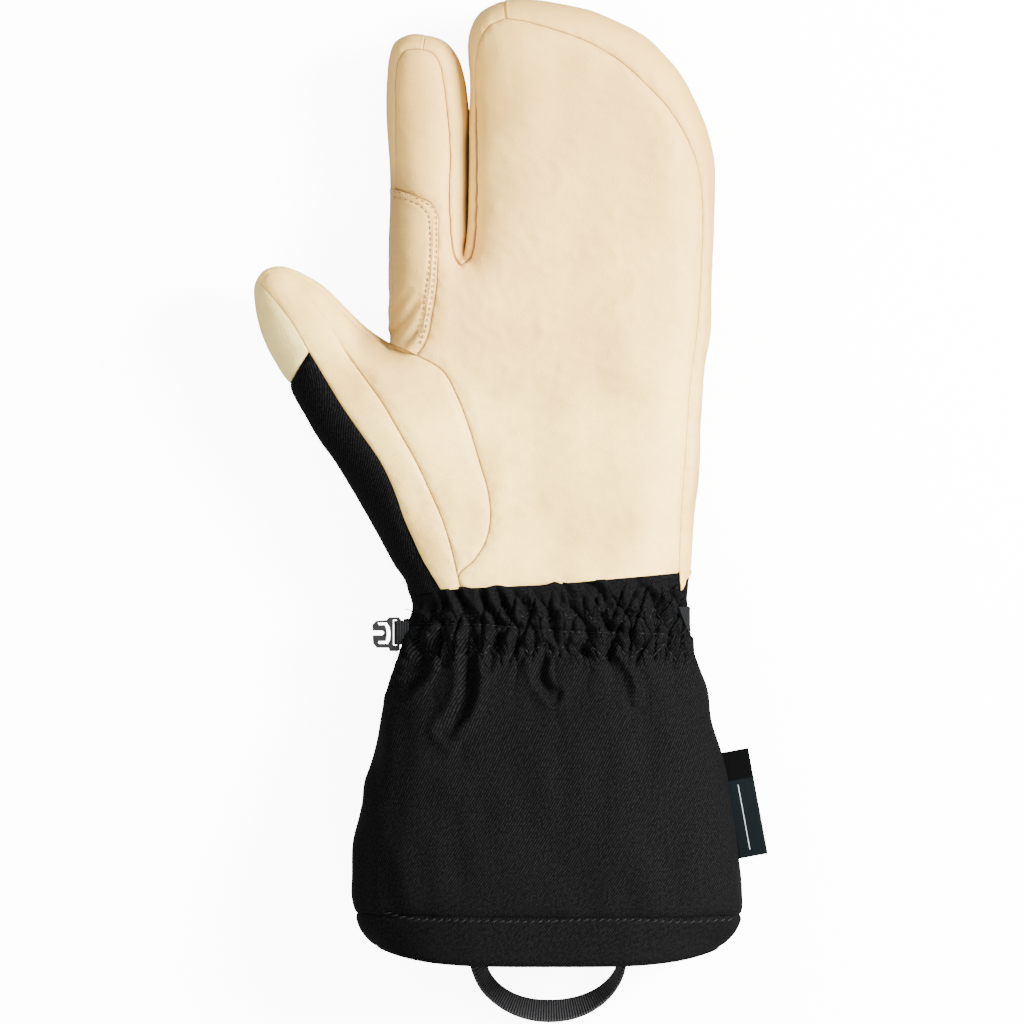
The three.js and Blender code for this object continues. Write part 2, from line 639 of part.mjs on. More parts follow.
// The outer side of the thumb: one row for each row of THUMB_ROWS, then the rows past its end
// where the inner seam on the back turns over the tip
const thumbOuter = (() => {
  const [front, edge, back] = thumbSide.map((seam) => seam.at(-1));
  const rows = THUMB_ROWS.length;
  const share = (i) => (i + 1) / (TIP_ROWS + 1);
  const past = Array.from({ length: TIP_ROWS + 1 }, (_, i) => share(i));
  return {
    edge: [
      ...column(THUMB_ROWS, 0),
      ...past.map((t) => mixPoint(place(...THUMB_ROWS[rows - 1]), edge, t)),
    ],
    seam: [...outerSeam, ...past.map((t) => mixPoint(outerSeam.at(-1), front, t))],
    back: [...thumbSeam.slice(0, patchRows), ...thumbSide[2].slice(0, -1), back],
  };
})();

function thumbCap() {
  const { seam, edge, back } = thumbOuter;
  const part = (line) => line.slice(CAP_START);
  return new Cloth().grid(stripRows(part(seam), part(edge), part(back), 3, 5)).wall(LEATHER);
}

function thumbBack() {
  const { seam, edge, back } = thumbOuter;
  const part = (line) => line.slice(0, CAP_START + 1);
  return new Cloth().grid(stripRows(part(seam), part(edge), part(back), 3, 6)).wall(LEATHER);
}

// Height of the hand's lower edge at a place across it
const wristLine = [
  ...column(THUMB_ROWS.slice(0, 1), 0),
  ...column(THUMB_ROWS.slice(0, 1), 1),
  ...column(PALM_ROWS.slice(0, 1), 0),
  ...column(PALM_ROWS.slice(0, 1), 1),
  ...column(PALM_ROWS.slice(0, 1), 2),
  ...column(PALM_ROWS.slice(0, 1), 3),
];
function wristEdge(x) {
  const next = wristLine.findIndex(([at]) => at > x);
  const i = next < 0 ? wristLine.length - 1 : max(next, 1);
  const [a, b] = [wristLine[i - 1], wristLine[i]];
  return mix(a[1], b[1], min(max((x - a[0]) / (b[0] - a[0]), 0), 1));
}

// A closed row round the gauntlet at a share of its length down each side. `bend` moves a point
// of the row, and the vertices lie at even steps round the section.
const RING_COLUMNS = 4 * GATHER_COUNT;
function ringRow(left, right, columns, bend = ([x, y]) => [x, y]) {
  const start = [-sideX(-1, left), -left * CUFF_LENGTH];
  const end = [sideX(1, right), -right * CUFF_LENGTH];
  const samples = [];
  for (let i = 0; i < 240; i++) {
    const angle = (2 * PI * i) / 240;
    const [x, y] = bend(mixPoint(start, end, 0.5 - 0.5 * cos(angle)));
    const side = angle < PI ? 1 : -1;
    samples.push({ x, y, side, z: heightAt(x, y, side) });
  }
  const reach = [0];
  samples.forEach((a, i) => {
    const b = samples[(i + 1) % samples.length];
    reach.push(reach[i] + hypot(b.x - a.x, b.y - a.y, b.z - a.z));
  });
  return Array.from({ length: columns }, (_, j) => {
    const goal = (reach.at(-1) * j) / columns;
    const i = reach.findIndex((length) => length > goal) - 1;
    const [a, b] = [samples[i], samples[(i + 1) % samples.length]];
    const t = (goal - reach[i]) / (reach[i + 1] - reach[i]);
    return skin([mix(a.x, b.x, t), mix(a.y, b.y, t)], a.side);
  });
}

// Half width of the gauntlet's row at one side; above the wrist it follows the hand's edge
function sideX(side, down) {
  if (down >= 0) return cuffHalf(side, down);
  const [x, y] = side < 0 ? wristLine[0] : wristLine.at(-1);
  return mix(cuffHalf(side, 0), abs(x), min((-down * CUFF_LENGTH) / y, 1));
}

// Rows of points round the gauntlet, outer face down and inner face up, as one closed wall
function ringWall(outer, inner) {
  const rows = [...outer, ...inner.reverse()];
  const columns = rows[0].length;
  const faces = [];
  rows.forEach((_, i) => {
    const next = (i + 1) % rows.length;
    for (let j = 0; j < columns; j++) {
      const k = (j + 1) % columns;
      const [a, b, c, d] = [i * columns + j, i * columns + k, next * columns + k, next * columns + j];
      faces.push([a, d, c], [a, c, b]);
    }
  });
  return geometryOf(rows.flat(), faces);
}

const sunk = (row, depth) => row.map(({ point, normal }) => along(point, normal, -depth));

// Folds round the wrist: a valley every fourth column, its ridges on the skin
const gathered = (row, share) =>
  row.map(({ point, normal }, j) => {
    const valley = 0.5 - 0.5 * cos((2 * PI * j) / 4);
    return along(point, normal, -GATHER_DEPTH * share * valley);
  });

// The gauntlet's first row follows the hand's lower edge, a seam's gap below it
const underHand = ([x]) => [x, wristEdge(x) - SEAM_GAP];

function gauntlet() {
  const rows = GAUNTLET_ROWS.map(({ left, right, gather }, i) => ({
    gather,
    row: ringRow(left, right, RING_COLUMNS, i === 0 ? underHand : undefined),
  }));
  const inner = [0, 3, 6, 8, rows.length - 1].map((i) =>
    sunk(rows[i].row, FABRIC + GATHER_DEPTH * rows[i].gather),
  );
  return ringWall(
    rows.map(({ row, gather }) => gathered(row, gather)),
    inner,
  );
}

// The hem's edge dips in the middle of each face and meets the side lines at its corners
function hemRow(share) {
  const at = (side) => mix(HEM_TOP[side] + SEAM_GAP / CUFF_LENGTH, HEM_SIDE, share);
  const drop = (1 - HEM_SIDE) * CUFF_LENGTH * share;
  const half = CUFF_WIDTH / 2;
  const bend = ([x, y]) => [x, y - drop * max(1 - (x / half / 0.9) ** 4, 0)];
  return ringRow(at("left"), at("right"), RING_COLUMNS / 2, bend);
}

function hemBand() {
  const rows = HEM_ROWS.map(hemRow);
  return ringWall(
    rows.map((row) => sunk(row, 0)),
    [rows[0], rows[2], rows[3]].map((row) => sunk(row, HEM_WALL)),
  );
}

// A flat band along a path: at each step a point, the direction of its width and of its
// thickness, and half of each
function band(steps) {
  const points = [];
  const faces = [];
  for (const { point, across, out, width, thickness } of steps) {
    for (const [u, v] of [[-1, -1], [1, -1], [1, 1], [-1, 1]]) {
      points.push(along(along(point, across, (u * width) / 2), out, (v * thickness) / 2));
    }
  }
  for (let i = 1; i < steps.length; i++) {
    for (let j = 0; j < 4; j++) {
      const k = (j + 1) % 4;
      const [a, b, c, d] = [4 * i - 4 + j, 4 * i - 4 + k, 4 * i + k, 4 * i + j];
      faces.push([a, b, c], [a, c, d]);
    }
  }
  const last = points.length - 4;
  faces.push([0, 2, 1], [0, 3, 2], [last, last + 1, last + 2], [last, last + 2, last + 3]);
  return geometryOf(points, faces);
}

// The loop leaves the hem at two places and hangs past its edge, standing on its side on the
// surface. Rows: share of the span from the left end, share of the drop below the hem's edge,
// and the webbing's turn up out of the surface in degrees.
const LOOP_ROWS = [
  { across: 0, below: -0.95, turn: 6 },
  { across: 0, below: -0.6, turn: 14 },
  { across: 0.005, below: -0.25, turn: 40 },
  { across: 0.02, below: 0.08, turn: 57 },
  { across: 0.07, below: 0.36, turn: 57 },
  { across: 0.16, below: 0.58, turn: 54 },
  { across: 0.28, below: 0.74, turn: 49 },
  { across: 0.42, below: 0.82, turn: 44 },
  { across: 0.57, below: 0.82, turn: 44 },
  { across: 0.7, below: 0.75, turn: 49 },
  { across: 0.81, below: 0.62, turn: 57 },
  { across: 0.9, below: 0.44, turn: 66 },
  { across: 0.96, below: 0.22, turn: 74 },
  { across: 0.99, below: -0.04, turn: 76 },
  { across: 1, below: -0.35, turn: 60 },
  { across: 1, below: -0.65, turn: 22 },
  { across: 1, below: -0.95, turn: 6 },
];
const LOOP_LEFT = -25.5; // the loop's left end, across from the wrist's middle

function hemLoop() {
  const middles = LOOP_ROWS.map(({ across, below, turn }) => {
    const inside = HEM_WALL + SEAM_GAP;
    const tilt = (turn * PI) / 180;
    const rest = (LOOP_WIDTH / 2) * sin(tilt) + (LOOP_THICKNESS / 2) * cos(tilt) + 0.05;
    const y = -CUFF_LENGTH - below * LOOP_DROP;
    return [LOOP_LEFT + across * LOOP_SPAN, y, rest + inside * ease(1 - (below - 0.1) / 0.4)];
  });
  const steps = middles.map((point, i) => {
    const way = unit(minus(middles[min(i + 1, middles.length - 1)], middles[max(i - 1, 0)]));
    const level = unit([way[1], -way[0], 0]);
    const tilt = (LOOP_ROWS[i].turn * PI) / 180;
    const lean = [level[0] * cos(tilt), level[1] * cos(tilt), sin(tilt)];
    const out = unit(cross(way, lean));
    return {
      point,
      across: unit(cross(out, way)),
      out,
      width: LOOP_WIDTH,
      thickness: LOOP_THICKNESS,
    };
  });
  return band(steps);
}

// The strap crosses the back of the wrist from its right end, which shows from the front, to the
// left side. It lies on the ridges of the gathers.
const STRAP_DOWN = { left: 0.087, right: 0.052 }; // shares of CUFF_LENGTH
const STRAP_FRONT = 4.6; // how far its right end comes round to the front
function wristStrap() {
  const row = ringRow(STRAP_DOWN.left, STRAP_DOWN.right, 2 * RING_COLUMNS);
  const half = row.findIndex(({ point }, i) => i > 0 && point[0] > row[(i + 1) % row.length].point[0]);
  const frontStart = row.findIndex(
    ({ point }, i) => i < half && point[0] > row[half].point[0] - STRAP_FRONT,
  );
  const used = row.slice(frontStart, row.length - 2).filter((_, i) => i % 4 === 0);
  const steps = used.map(({ point, normal }, i) => {
    const before = used[max(i - 1, 0)].point;
    const after = used[min(i + 1, used.length - 1)].point;
    const way = unit(minus(after, before));
    return {
      point: along(point, normal, 1.6 * SEAM_GAP + STRAP_THICKNESS / 2),
      across: unit(cross(normal, way)),
      out: normal,
      width: STRAP_WIDTH,
      thickness: STRAP_THICKNESS,
    };
  });
  steps.forEach((step) => {
    const lowest = STRAP_THICKNESS / 2;
    step.point[2] = max(step.point[2], lowest);
  });
  return band(steps);
}

// The clip lies flat beside the left of the wrist. Its outline and slots are shares of its length
// from its free end and of its height from its middle.
const CLIP_OUTLINE = [
  [0, 0.106], [0, 0.29], [0.13, 0.395], [0.495, 0.418], [0.55, 0.485], [0.635, 0.5],
  [0.915, 0.5], [1, 0.42], [0.95, -0.46], [0.88, -0.5], [0.6, -0.5], [0.56, -0.4],
  [0.145, -0.4], [0.02, -0.27], [0, -0.03], [0.34, -0.03], [0.4, 0.02], [0.4, 0.06],
  [0.34, 0.106],
];
const CLIP_SPRING_SLOT = [
  [0.18, 0.335], [0.495, 0.344], [0.593, 0.206], [0.63, 0.015], [0.6, -0.176],
  [0.53, -0.28], [0.214, -0.28], [0.2, -0.206], [0.47, -0.2], [0.51, 0],
  [0.488, 0.16], [0.43, 0.276], [0.23, 0.265],
];
const CLIP_DOWN = 0.0934; // share of CUFF_LENGTH below the wrist to the clip's middle
const CLIP_REACH = 11.1; // from the gauntlet's side line to the clip's free end
const CLIP_LIFT = 5; // how far the clip lies above the wrist's middle
const clipMiddle = [-cuffHalf(-1, CLIP_DOWN), -CLIP_DOWN * CUFF_LENGTH, WRIST_RISE + CLIP_LIFT];

const inClip = ([u, v]) =>
  new THREE.Vector2(clipMiddle[0] - CLIP_REACH + u * CLIP_LENGTH, clipMiddle[1] + v * CLIP_HEIGHT);

function plate(shape, thickness, z) {
  const geometry = new THREE.ExtrudeGeometry(shape, { depth: thickness, bevelEnabled: false });
  geometry.translate(0, 0, z - thickness / 2);
  return geometry;
}

function wristClip() {
  const shape = new THREE.Shape(CLIP_OUTLINE.map(inClip).reverse());
  const [low, high] = TAB_SPAN.map((v) => v + sign(v) * 0.026);
  const from = (TAB_AT * CLIP_LENGTH - CLIP_SLOT / 2) / CLIP_LENGTH;
  const to = (TAB_AT * CLIP_LENGTH + CLIP_SLOT / 2) / CLIP_LENGTH;
  shape.holes.push(
    new THREE.Path(CLIP_SPRING_SLOT.map(inClip)),
    new THREE.Path([[from, low], [from, high], [to, high], [to, low]].map(inClip)),
  );
  return plate(shape, CLIP_THICKNESS, clipMiddle[2]);
}

// Where the front of the gauntlet's left side reaches a height, at a place along it
function leftSideAt(y, z) {
  let [near, far] = [-cuffHalf(-1, -y / CUFF_LENGTH), 0];
  for (let i = 0; i < 30; i++) {
    const x = (near + far) / 2;
    if (heightAt(x, y, 1) < z) near = x;
    else far = x;
  }
  return near;
}

// The webbing goes from the gauntlet's side through the clip's slot, round its bar and back
function clipTab() {
  const thick = CLIP_SLOT - 2 * SEAM_GAP;
  const rise = CLIP_THICKNESS / 2 + SEAM_GAP + thick / 2;
  const slot = inClip([TAB_AT, 0]).x;
  const [low, high] = TAB_SPAN.map((v) => v * CLIP_HEIGHT);
  const y = clipMiddle[1] + (low + high) / 2;
  const end = (z) =>
    min(...[low, high].map((v) => leftSideAt(clipMiddle[1] + v, clipMiddle[2] + z - thick))) - SEAM_GAP;
  const path = [
    { x: end(rise), z: rise, out: [0, 0, 1], thickness: thick },
    { x: slot, z: rise, out: [-1, 0, 1], thickness: thick * sqrt(2) },
    { x: slot, z: -rise, out: [-1, 0, -1], thickness: thick * sqrt(2) },
    { x: end(-rise), z: -rise, out: [0, 0, -1], thickness: thick },
  ];
  return band(
    path.map(({ x, z, out, thickness }) => ({
      point: [x, y, clipMiddle[2] + z],
      across: [0, -1, 0],
      out: unit(out),
      width: high - low,
      thickness,
    })),
  );
}

// The tag is sewn into the gauntlet's right side and stands straight out of it
const LABEL_DOWN = 0.42; // share of CUFF_LENGTH to the tag's upper end
function sideLabel() {
  const rows = Array.from({ length: 7 }, (_, i) => i / 6);
  const inner = rows.map((t) => {
    const down = LABEL_DOWN + (t * LABEL_LENGTH) / CUFF_LENGTH;
    return [cuffHalf(1, down) + 2 * SEAM_GAP, -down * CUFF_LENGTH];
  });
  const way = unit(minus(inner.at(-1), inner[0]));
  const out = [-way[1], way[0]];
  const outer = [inner[0], inner.at(-1)].map((p) => along(p, out, LABEL_WIDTH));
  const shape = new THREE.Shape([...inner, outer[1], outer[0]].map((p) => new THREE.Vector2(...p)));
  const [rise] = sectionAt(...inner[3]);
  return plate(shape, LABEL_THICKNESS, rise);
}

const mitt = new THREE.Group();
function add(name, geometry, material) {
  const mesh = new THREE.Mesh(geometry, material);
  mesh.name = name;
  mitt.add(mesh);
}

add("palm_panel", palmPanel(), TAN_LEATHER);
add("outer_gusset", outerGusset(), TAN_LEATHER);
add("fourchette", fourchette(), TAN_LEATHER);
add("index_gusset", indexGusset(), TAN_LEATHER);
add("index_patch", indexPatch(), TAN_LEATHER);
add("thumb_palm", thumbPalm(), TAN_LEATHER);
add("thumb_strip", thumbStrip(), TAN_LEATHER);
add("thumb_gusset", thumbGusset(), TAN_LEATHER);
add("thumb_cap", thumbCap(), CAP_LEATHER);
add("thumb_back", thumbBack(), BLACK_FABRIC);
add("back_panel", backPanel(), BLACK_FABRIC);
add("gauntlet", gauntlet(), BLACK_FABRIC);
add("hem_band", hemBand(), BLACK_FABRIC);
add("hem_loop", hemLoop(), WEBBING);
add("wrist_strap", wristStrap(), WEBBING);
add("wrist_clip", wristClip(), CLIP_PLASTIC);
add("clip_tab", clipTab(), WEBBING);
add("side_label", sideLabel(), LABEL_FABRIC);

// The origin is under the middle of the mitt, on the surface that it lies on
const box = new THREE.Box3().setFromObject(mitt);
const middle = box.getCenter(new THREE.Vector3());
mitt.position.set(-middle.x, -middle.y, -box.min.z);

export default mitt;
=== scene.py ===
"""Looks of a three-finger ski mitt for the left hand, lying on its back with the palm up.

X runs across the palm, Y from the cuff to the fingertips, Z up out of the palm. Sizes are in
millimetres from the wrist's middle until a mesh is made, and in metres from there on.
"""

import logging
import math
from collections.abc import Callable
from dataclasses import dataclass, field
from enum import Enum
from functools import partial

import bmesh
import bpy
import numpy as np
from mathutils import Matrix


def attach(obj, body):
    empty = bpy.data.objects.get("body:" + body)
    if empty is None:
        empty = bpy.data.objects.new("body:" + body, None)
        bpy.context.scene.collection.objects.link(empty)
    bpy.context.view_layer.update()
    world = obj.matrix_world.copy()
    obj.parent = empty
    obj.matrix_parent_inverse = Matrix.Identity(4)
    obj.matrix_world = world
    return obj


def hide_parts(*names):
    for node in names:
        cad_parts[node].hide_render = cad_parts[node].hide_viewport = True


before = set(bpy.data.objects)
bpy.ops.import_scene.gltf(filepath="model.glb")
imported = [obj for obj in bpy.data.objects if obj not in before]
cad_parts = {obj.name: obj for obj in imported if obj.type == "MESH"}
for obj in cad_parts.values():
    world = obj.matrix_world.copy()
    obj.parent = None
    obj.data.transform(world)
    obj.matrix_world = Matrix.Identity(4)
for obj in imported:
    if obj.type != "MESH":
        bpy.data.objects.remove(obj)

log = logging.getLogger("mitt")
Array = np.ndarray
Number = float | Array
Material = bpy.types.Material
Object = bpy.types.Object
Socket = bpy.types.NodeSocket
Colour = tuple[float, float, float, float]
Value = float | tuple | Socket
Bend = Callable[[Array], Array]

MM = 0.001
HAND_ORIGIN = (13.091, -30.854, 0.0)  # the wrist's middle in the shared frame

HAND_LENGTH = 210.0
HAND_WIDTH = 114.0
INDEX_WIDTH = 28.0
CLEFT_DEPTH = 90.0
THUMB_REACH = 47.0
WRIST_WIDTH = 96.6
CUFF_LENGTH = 127.4
CUFF_WIDTH = 137.0
TIP_LIFT = 5.0
THUMB_MOUND = 3.5
LEATHER = 3.0
FABRIC = 2.0
HEM_WALL = 2.6
TAIL_WALL = 1.0
FLOOR_GAP = 0.02  # no point of the mitt is lower than this
STEPS = 6  # cuts between two rows of a seam table
UP = np.array([0.0, 0.0, 1.0])
WELD = 200  # points that agree to 1 / WELD mm are one
RIB = 0.314  # scale of a wave texture that has one rib in a metre
SEEN_MIDDLE = (549, 600)  # the wrist's middle, in steps from the front's upper left corner
SEEN_STEP = 0.35

# Percent across at the thumb's tip, the index finger's outer edge, the cleft and the outer edge
THUMB_END = -90.1
INDEX_EDGE = -49.1
CLEFT_EDGE = -24.4
OUTER_EDGE = 51.2
CLEFT_ROOT = 57.2  # percent up at the cleft's bottom

# Percent of HAND_WIDTH across and percent of HAND_LENGTH up, pairs of columns; rows run from
# the wrist to a tip. Palm: thumb-side seam, split line, outer seam, outer edge of the hand.
PALM_ROWS = [
    [-27, 2, 0.9, 2.7, 40.5, 4.6, 43.4, 4.8],
    [-27.9, 3.8, 0.2, 4.2, 40.5, 6.3, 43.7, 6.7],
    [-22.7, 6.8, -1.4, 7, 40.6, 9, 44, 9.2],
    [-19.3, 9.8, -3.1, 9.8, 40.8, 11.7, 44.3, 11.7],
    [-17.8, 13.2, -5.2, 13.2, 41, 14.8, 44.9, 14.8],
    [-18.4, 18, -8.1, 18, 41.6, 19.3, 45.9, 19.3],
    [-20.9, 22.8, -10.9, 22.8, 42.2, 23.8, 46.5, 23.8],
    [-23.9, 28.2, -14, 28.2, 42.8, 28.7, 46.8, 28.7],
    [-27.6, 33.5, -16.9, 33.8, 43.4, 34, 47.2, 34],
    [-32.5, 38.2, -19.3, 39, 44.5, 39, 48, 39],
    [-40.5, 40.8, -21.2, 43.7, 45.6, 44, 49.5, 43.7],
    [-38.3, 42.5, -22.7, 47, 46.2, 47.3, 49.9, 47.3],
    [-35.7, 48, -24.7, 51.5, 46.8, 52, 50.2, 52],
    [-34.4, 52.5, -26.8, 56, 47.2, 56.3, 50.5, 56.3],
]
# Two-finger part: inner edge, inner seam, outer seam, outer edge
MAIN_ROWS = [
    [-25.5, 58, -24.2, 57.2, 47.5, 59.5, 50.7, 59.5],
    [-24.5, 61.2, -23, 60.5, 47.6, 63, 51, 63],
    [-24, 66, -22.5, 65.7, 47.3, 67.3, 51.2, 67.7],
    [-23.8, 71, -22.4, 70.8, 45.9, 72.2, 50.9, 73.3],
    [-23.8, 76.7, -22.5, 76.7, 42.3, 77, 48.6, 78.8],
    [-23.9, 82.7, -22.8, 82.5, 36.5, 81.8, 44.2, 84.2],
    [-24.3, 87.3, -23.1, 87, 29.4, 85.8, 36.8, 90.2],
    [-24.8, 90.7, -22.7, 90, 20.9, 89.8, 27, 94.8],
    [-24.5, 94, -21.2, 93.3, 11, 92.9, 14.7, 97.7],
    [-21.8, 97.4, -18.4, 95.5, 0.3, 95, 2.5, 99.5],
    [-14.1, 99.7, -13.8, 96.7, -7.7, 96.3, -6.7, 100],
]
# Index finger: outer edge, outer seam (the wear patch's edge up to row 5), cleft seam and edge
INDEX_ROWS = [
    [-49.1, 56.3, -34, 56.3, -28.5, 57.7, -26.3, 58.2],
    [-49.1, 60.7, -33.8, 60.8, -29.4, 60.5, -25.6, 60.8],
    [-49, 63.7, -33.9, 63.7, -29.8, 63.7, -25.2, 63.8],
    [-48.9, 65.7, -35.6, 65.7, -30.1, 66, -25, 66.2],
    [-48.8, 67.2, -41.4, 67.3, -30.1, 67.7, -24.9, 68],
    [-48.8, 68.7, -47.6, 68.5, -30.1, 69.3, -24.8, 69.7],
    [-48.9, 72, -47.6, 72, -29.8, 72.3, -24.8, 72.7],
    [-49.6, 77, -47.6, 77, -30, 77, -24.8, 77.3],
    [-50, 82.2, -47.6, 82.2, -30.9, 82, -24.9, 82.5],
    [-49.8, 87, -47.6, 86.7, -32.1, 86.7, -25.7, 87.3],
    [-49.2, 90.5, -46.6, 89.8, -33.6, 89.8, -27.8, 90.5],
    [-47.4, 93, -44.5, 91.5, -36.2, 91.4, -31.9, 93.1],
    [-42.9, 94.3, -41.7, 91.9, -38.3, 91.8, -37.7, 94.2],
]
PATCH_END = 5
PATCH_START = 10  # row of PALM_ROWS at the thumb's crotch
# Root of the index finger: outer edge, seam on its back
ROOT_ROWS = [
    [-48.8, 42.8, -40.5, 40.8],
    [-48.8, 44.7, -45.7, 43.7],
    [-49, 48.3, -47.4, 48],
    [-49.1, 52.3, -47.5, 52.3],
]
BACK_SEAM_X = -47.5
# Thumb: outer edge, outer seam, middle seam
THUMB_ROWS = [
    [-42.9, 0.7, -33.4, 1.6, -27, 2],
    [-44.2, 3.2, -35.9, 3.8, -27.9, 3.8],
    [-47.2, 5.7, -39, 6.5, -29.1, 6.7],
    [-50.6, 8.8, -41.7, 9.7, -30.5, 9.8],
    [-54.6, 13, -44.5, 13.2, -32.5, 13.2],
    [-59.5, 17.7, -47.9, 18.5, -36.2, 17.8],
    [-64.7, 22.3, -51.8, 23, -40.5, 22.8],
    [-70.6, 26.8, -57.7, 27.7, -45.7, 27.8],
    [-75.5, 31.3, -63.5, 32.3, -51.5, 33.2],
    [-78.2, 34, -68.4, 36.7, -56.1, 36.7],
    [-79.8, 36, -73.3, 41.3, -61, 40.5],
    [-83.1, 39, -77, 45, -65.6, 44.5],
    [-86.5, 42.5, -80.4, 47.7, -69.6, 47.7],
    [-88.8, 46, -83.7, 50, -73.6, 50.5],
    [-89.9, 48.7, -86.2, 51.5, -76.7, 52.3],
]
CAP_START = 10
# Inner side of the thumb, crotch to tip and over it: seam, edge, seam on the back
THUMB_SIDE_ROWS = [
    [-40.5, 40.8, -48.8, 42.8, -40.5, 40.8],
    [-47.9, 42.1, -50.6, 43.4, -50.3, 41.3],
    [-55.5, 44.6, -54.6, 44.9, -58.6, 43.7],
    [-63.2, 48.5, -62.4, 48.8, -66, 47.2],
    [-70.7, 52.2, -69.9, 52.6, -72.4, 50.2],
    [-74.8, 53.5, -73.9, 54, -76.7, 51.7],
    [-78.2, 54.5, -77.6, 55, -79.8, 52.5],
    [-81.6, 55, -81.6, 55.7, -81.9, 52.8],
    [-86.5, 54.3, -87.3, 54.9, -84.4, 52.8],
    [-88.5, 52.8, -89.6, 53.2, -86.2, 52.3],
]
# Gauntlet: share of CUFF_LENGTH below the wrist on the left and right, depth of the gathers
GAUNTLET_ROWS = [
    [-0.011, -0.08, 0.25],
    [0.01, -0.03, 0.8],
    [0.03, 0.02, 1],
    [0.058, 0.09, 0.6],
    [0.1, 0.15, 1],
    [0.15, 0.21, 0.75],
    [0.22, 0.275, 0.45],
    [0.32, 0.36, 0.2],
    [0.45, 0.475, 0.08],
    [0.6, 0.61, 0],
    [0.74, 0.745, 0],
    [0.858, 0.863, 0],
]
# Side lines of the cuff: share of its length down, then each side's way from wrist to cuff
CUFF_SIDES = [
    [0, 0, 0],
    [0.082, 0.09, 0.05],
    [0.165, 0.26, 0.17],
    [0.247, 0.4, 0.35],
    [0.33, 0.54, 0.42],
    [0.412, 0.64, 0.59],
    [0.494, 0.78, 0.73],
    [0.577, 0.89, 0.83],
    [0.659, 0.97, 0.91],
    [0.742, 1, 0.96],
    [0.824, 0.99, 0.97],
    [0.865, 0.95, 0.94],
    [0.907, 0.85, 0.83],
    [0.948, 0.61, 0.59],
]
HEM_TOP = (0.858, 0.863)
HEM_SIDE = 0.948

# Knots of the silhouette. Up the thumb: the cuff's end, the cap's border, the tip, the crotch
CUFF_KNOT = len(CUFF_SIDES)
CAP_KNOT = CUFF_KNOT + CAP_START
THUMB_TIP_KNOT = CUFF_KNOT + len(THUMB_ROWS) - 1
CROTCH_KNOT = THUMB_TIP_KNOT + len(THUMB_SIDE_ROWS)
# Round the fingers: the wear patch's end, the two tips, the outer side at the wrist
PATCH_KNOT = len(ROOT_ROWS) + PATCH_END
INDEX_TIP_KNOT = len(ROOT_ROWS) + len(INDEX_ROWS)
MAIN_TIP_KNOT = INDEX_TIP_KNOT + len(INDEX_ROWS) + len(MAIN_ROWS)
WRIST_KNOT = MAIN_TIP_KNOT + len(MAIN_ROWS) + len(PALM_ROWS)
RIM_SPARE = 2  # knots past the wrist at which the cuff's side lines start
MEET_ROW = 7  # row of THUMB_SIDE_ROWS where the thumb's middle seam ends
CAP_PAST = 5  # rows of THUMB_SIDE_ROWS that the cap reaches past the thumb's tip

# Section of each region: height of its middle, half its thickness, the depth from the
# silhouette over which it rounds, and how square that rounding is
PALM_SECTION = (20, 20, 21, 2.5)
INDEX_SECTION = (18, 14.5, 15.5, 2.1)
THUMB_SECTION = (27, 13.5, 14.5, 2)
WRIST_SECTION = (24, 19, 36, 2.2)
CUFF_SECTION = (28, 31, 50, 2.3)


class Side(Enum):
    """The face of the mitt that a surface lies on."""

    FRONT = 1
    BACK = -1


def mix(a: Number, b: Number, t: Number) -> Number:
    """Straight blend: a at t = 0, and b at t = 1."""
    return a + (b - a) * t


def ease(t: Number) -> Number:
    """Smooth step from 0 to 1: three times the square of t less twice its cube."""
    c = np.clip(t, 0, 1)
    return c * c * (3 - 2 * c)


def bell(t: Number) -> Number:
    """Bell curve: e to the power of minus the square of t."""
    return np.exp(-(t**2))


def unit(vectors: Array) -> Array:
    """Vectors along the last axis brought to length 1."""
    return vectors / np.maximum(np.linalg.norm(vectors, axis=-1, keepdims=True), 1e-12)


def place(percent: Array) -> Array:
    """Table points in millimetres from the wrist's middle.

    Each stretch between two named stops has its own scale, and near the wrist the width shrinks
    towards WRIST_WIDTH by a smooth step.

    Args:
        percent: points as percent across and percent up, in the last axis.

    Returns:
        The points in millimetres.
    """
    percent = np.asarray(percent, float)
    left = INDEX_EDGE * HAND_WIDTH / 100
    across = np.interp(
        percent[..., 0],
        [THUMB_END, INDEX_EDGE, CLEFT_EDGE, OUTER_EDGE],
        [left - THUMB_REACH, left, left + INDEX_WIDTH, OUTER_EDGE * HAND_WIDTH / 100],
    )
    up = np.interp(percent[..., 1], [0, CLEFT_ROOT, 100], [0, HAND_LENGTH - CLEFT_DEPTH, HAND_LENGTH])
    wrist_percent = 84.7  # the wrist's width in the tables
    pull = 100 * WRIST_WIDTH / (wrist_percent * HAND_WIDTH)
    return np.stack([across * mix(pull, 1, ease(percent[..., 1] / 20)), up], -1)


def column(rows: list, n: int) -> Array:
    """Column n of a seam table, as points in millimetres."""
    return place(np.array(rows, float)[:, 2 * n : 2 * n + 2])


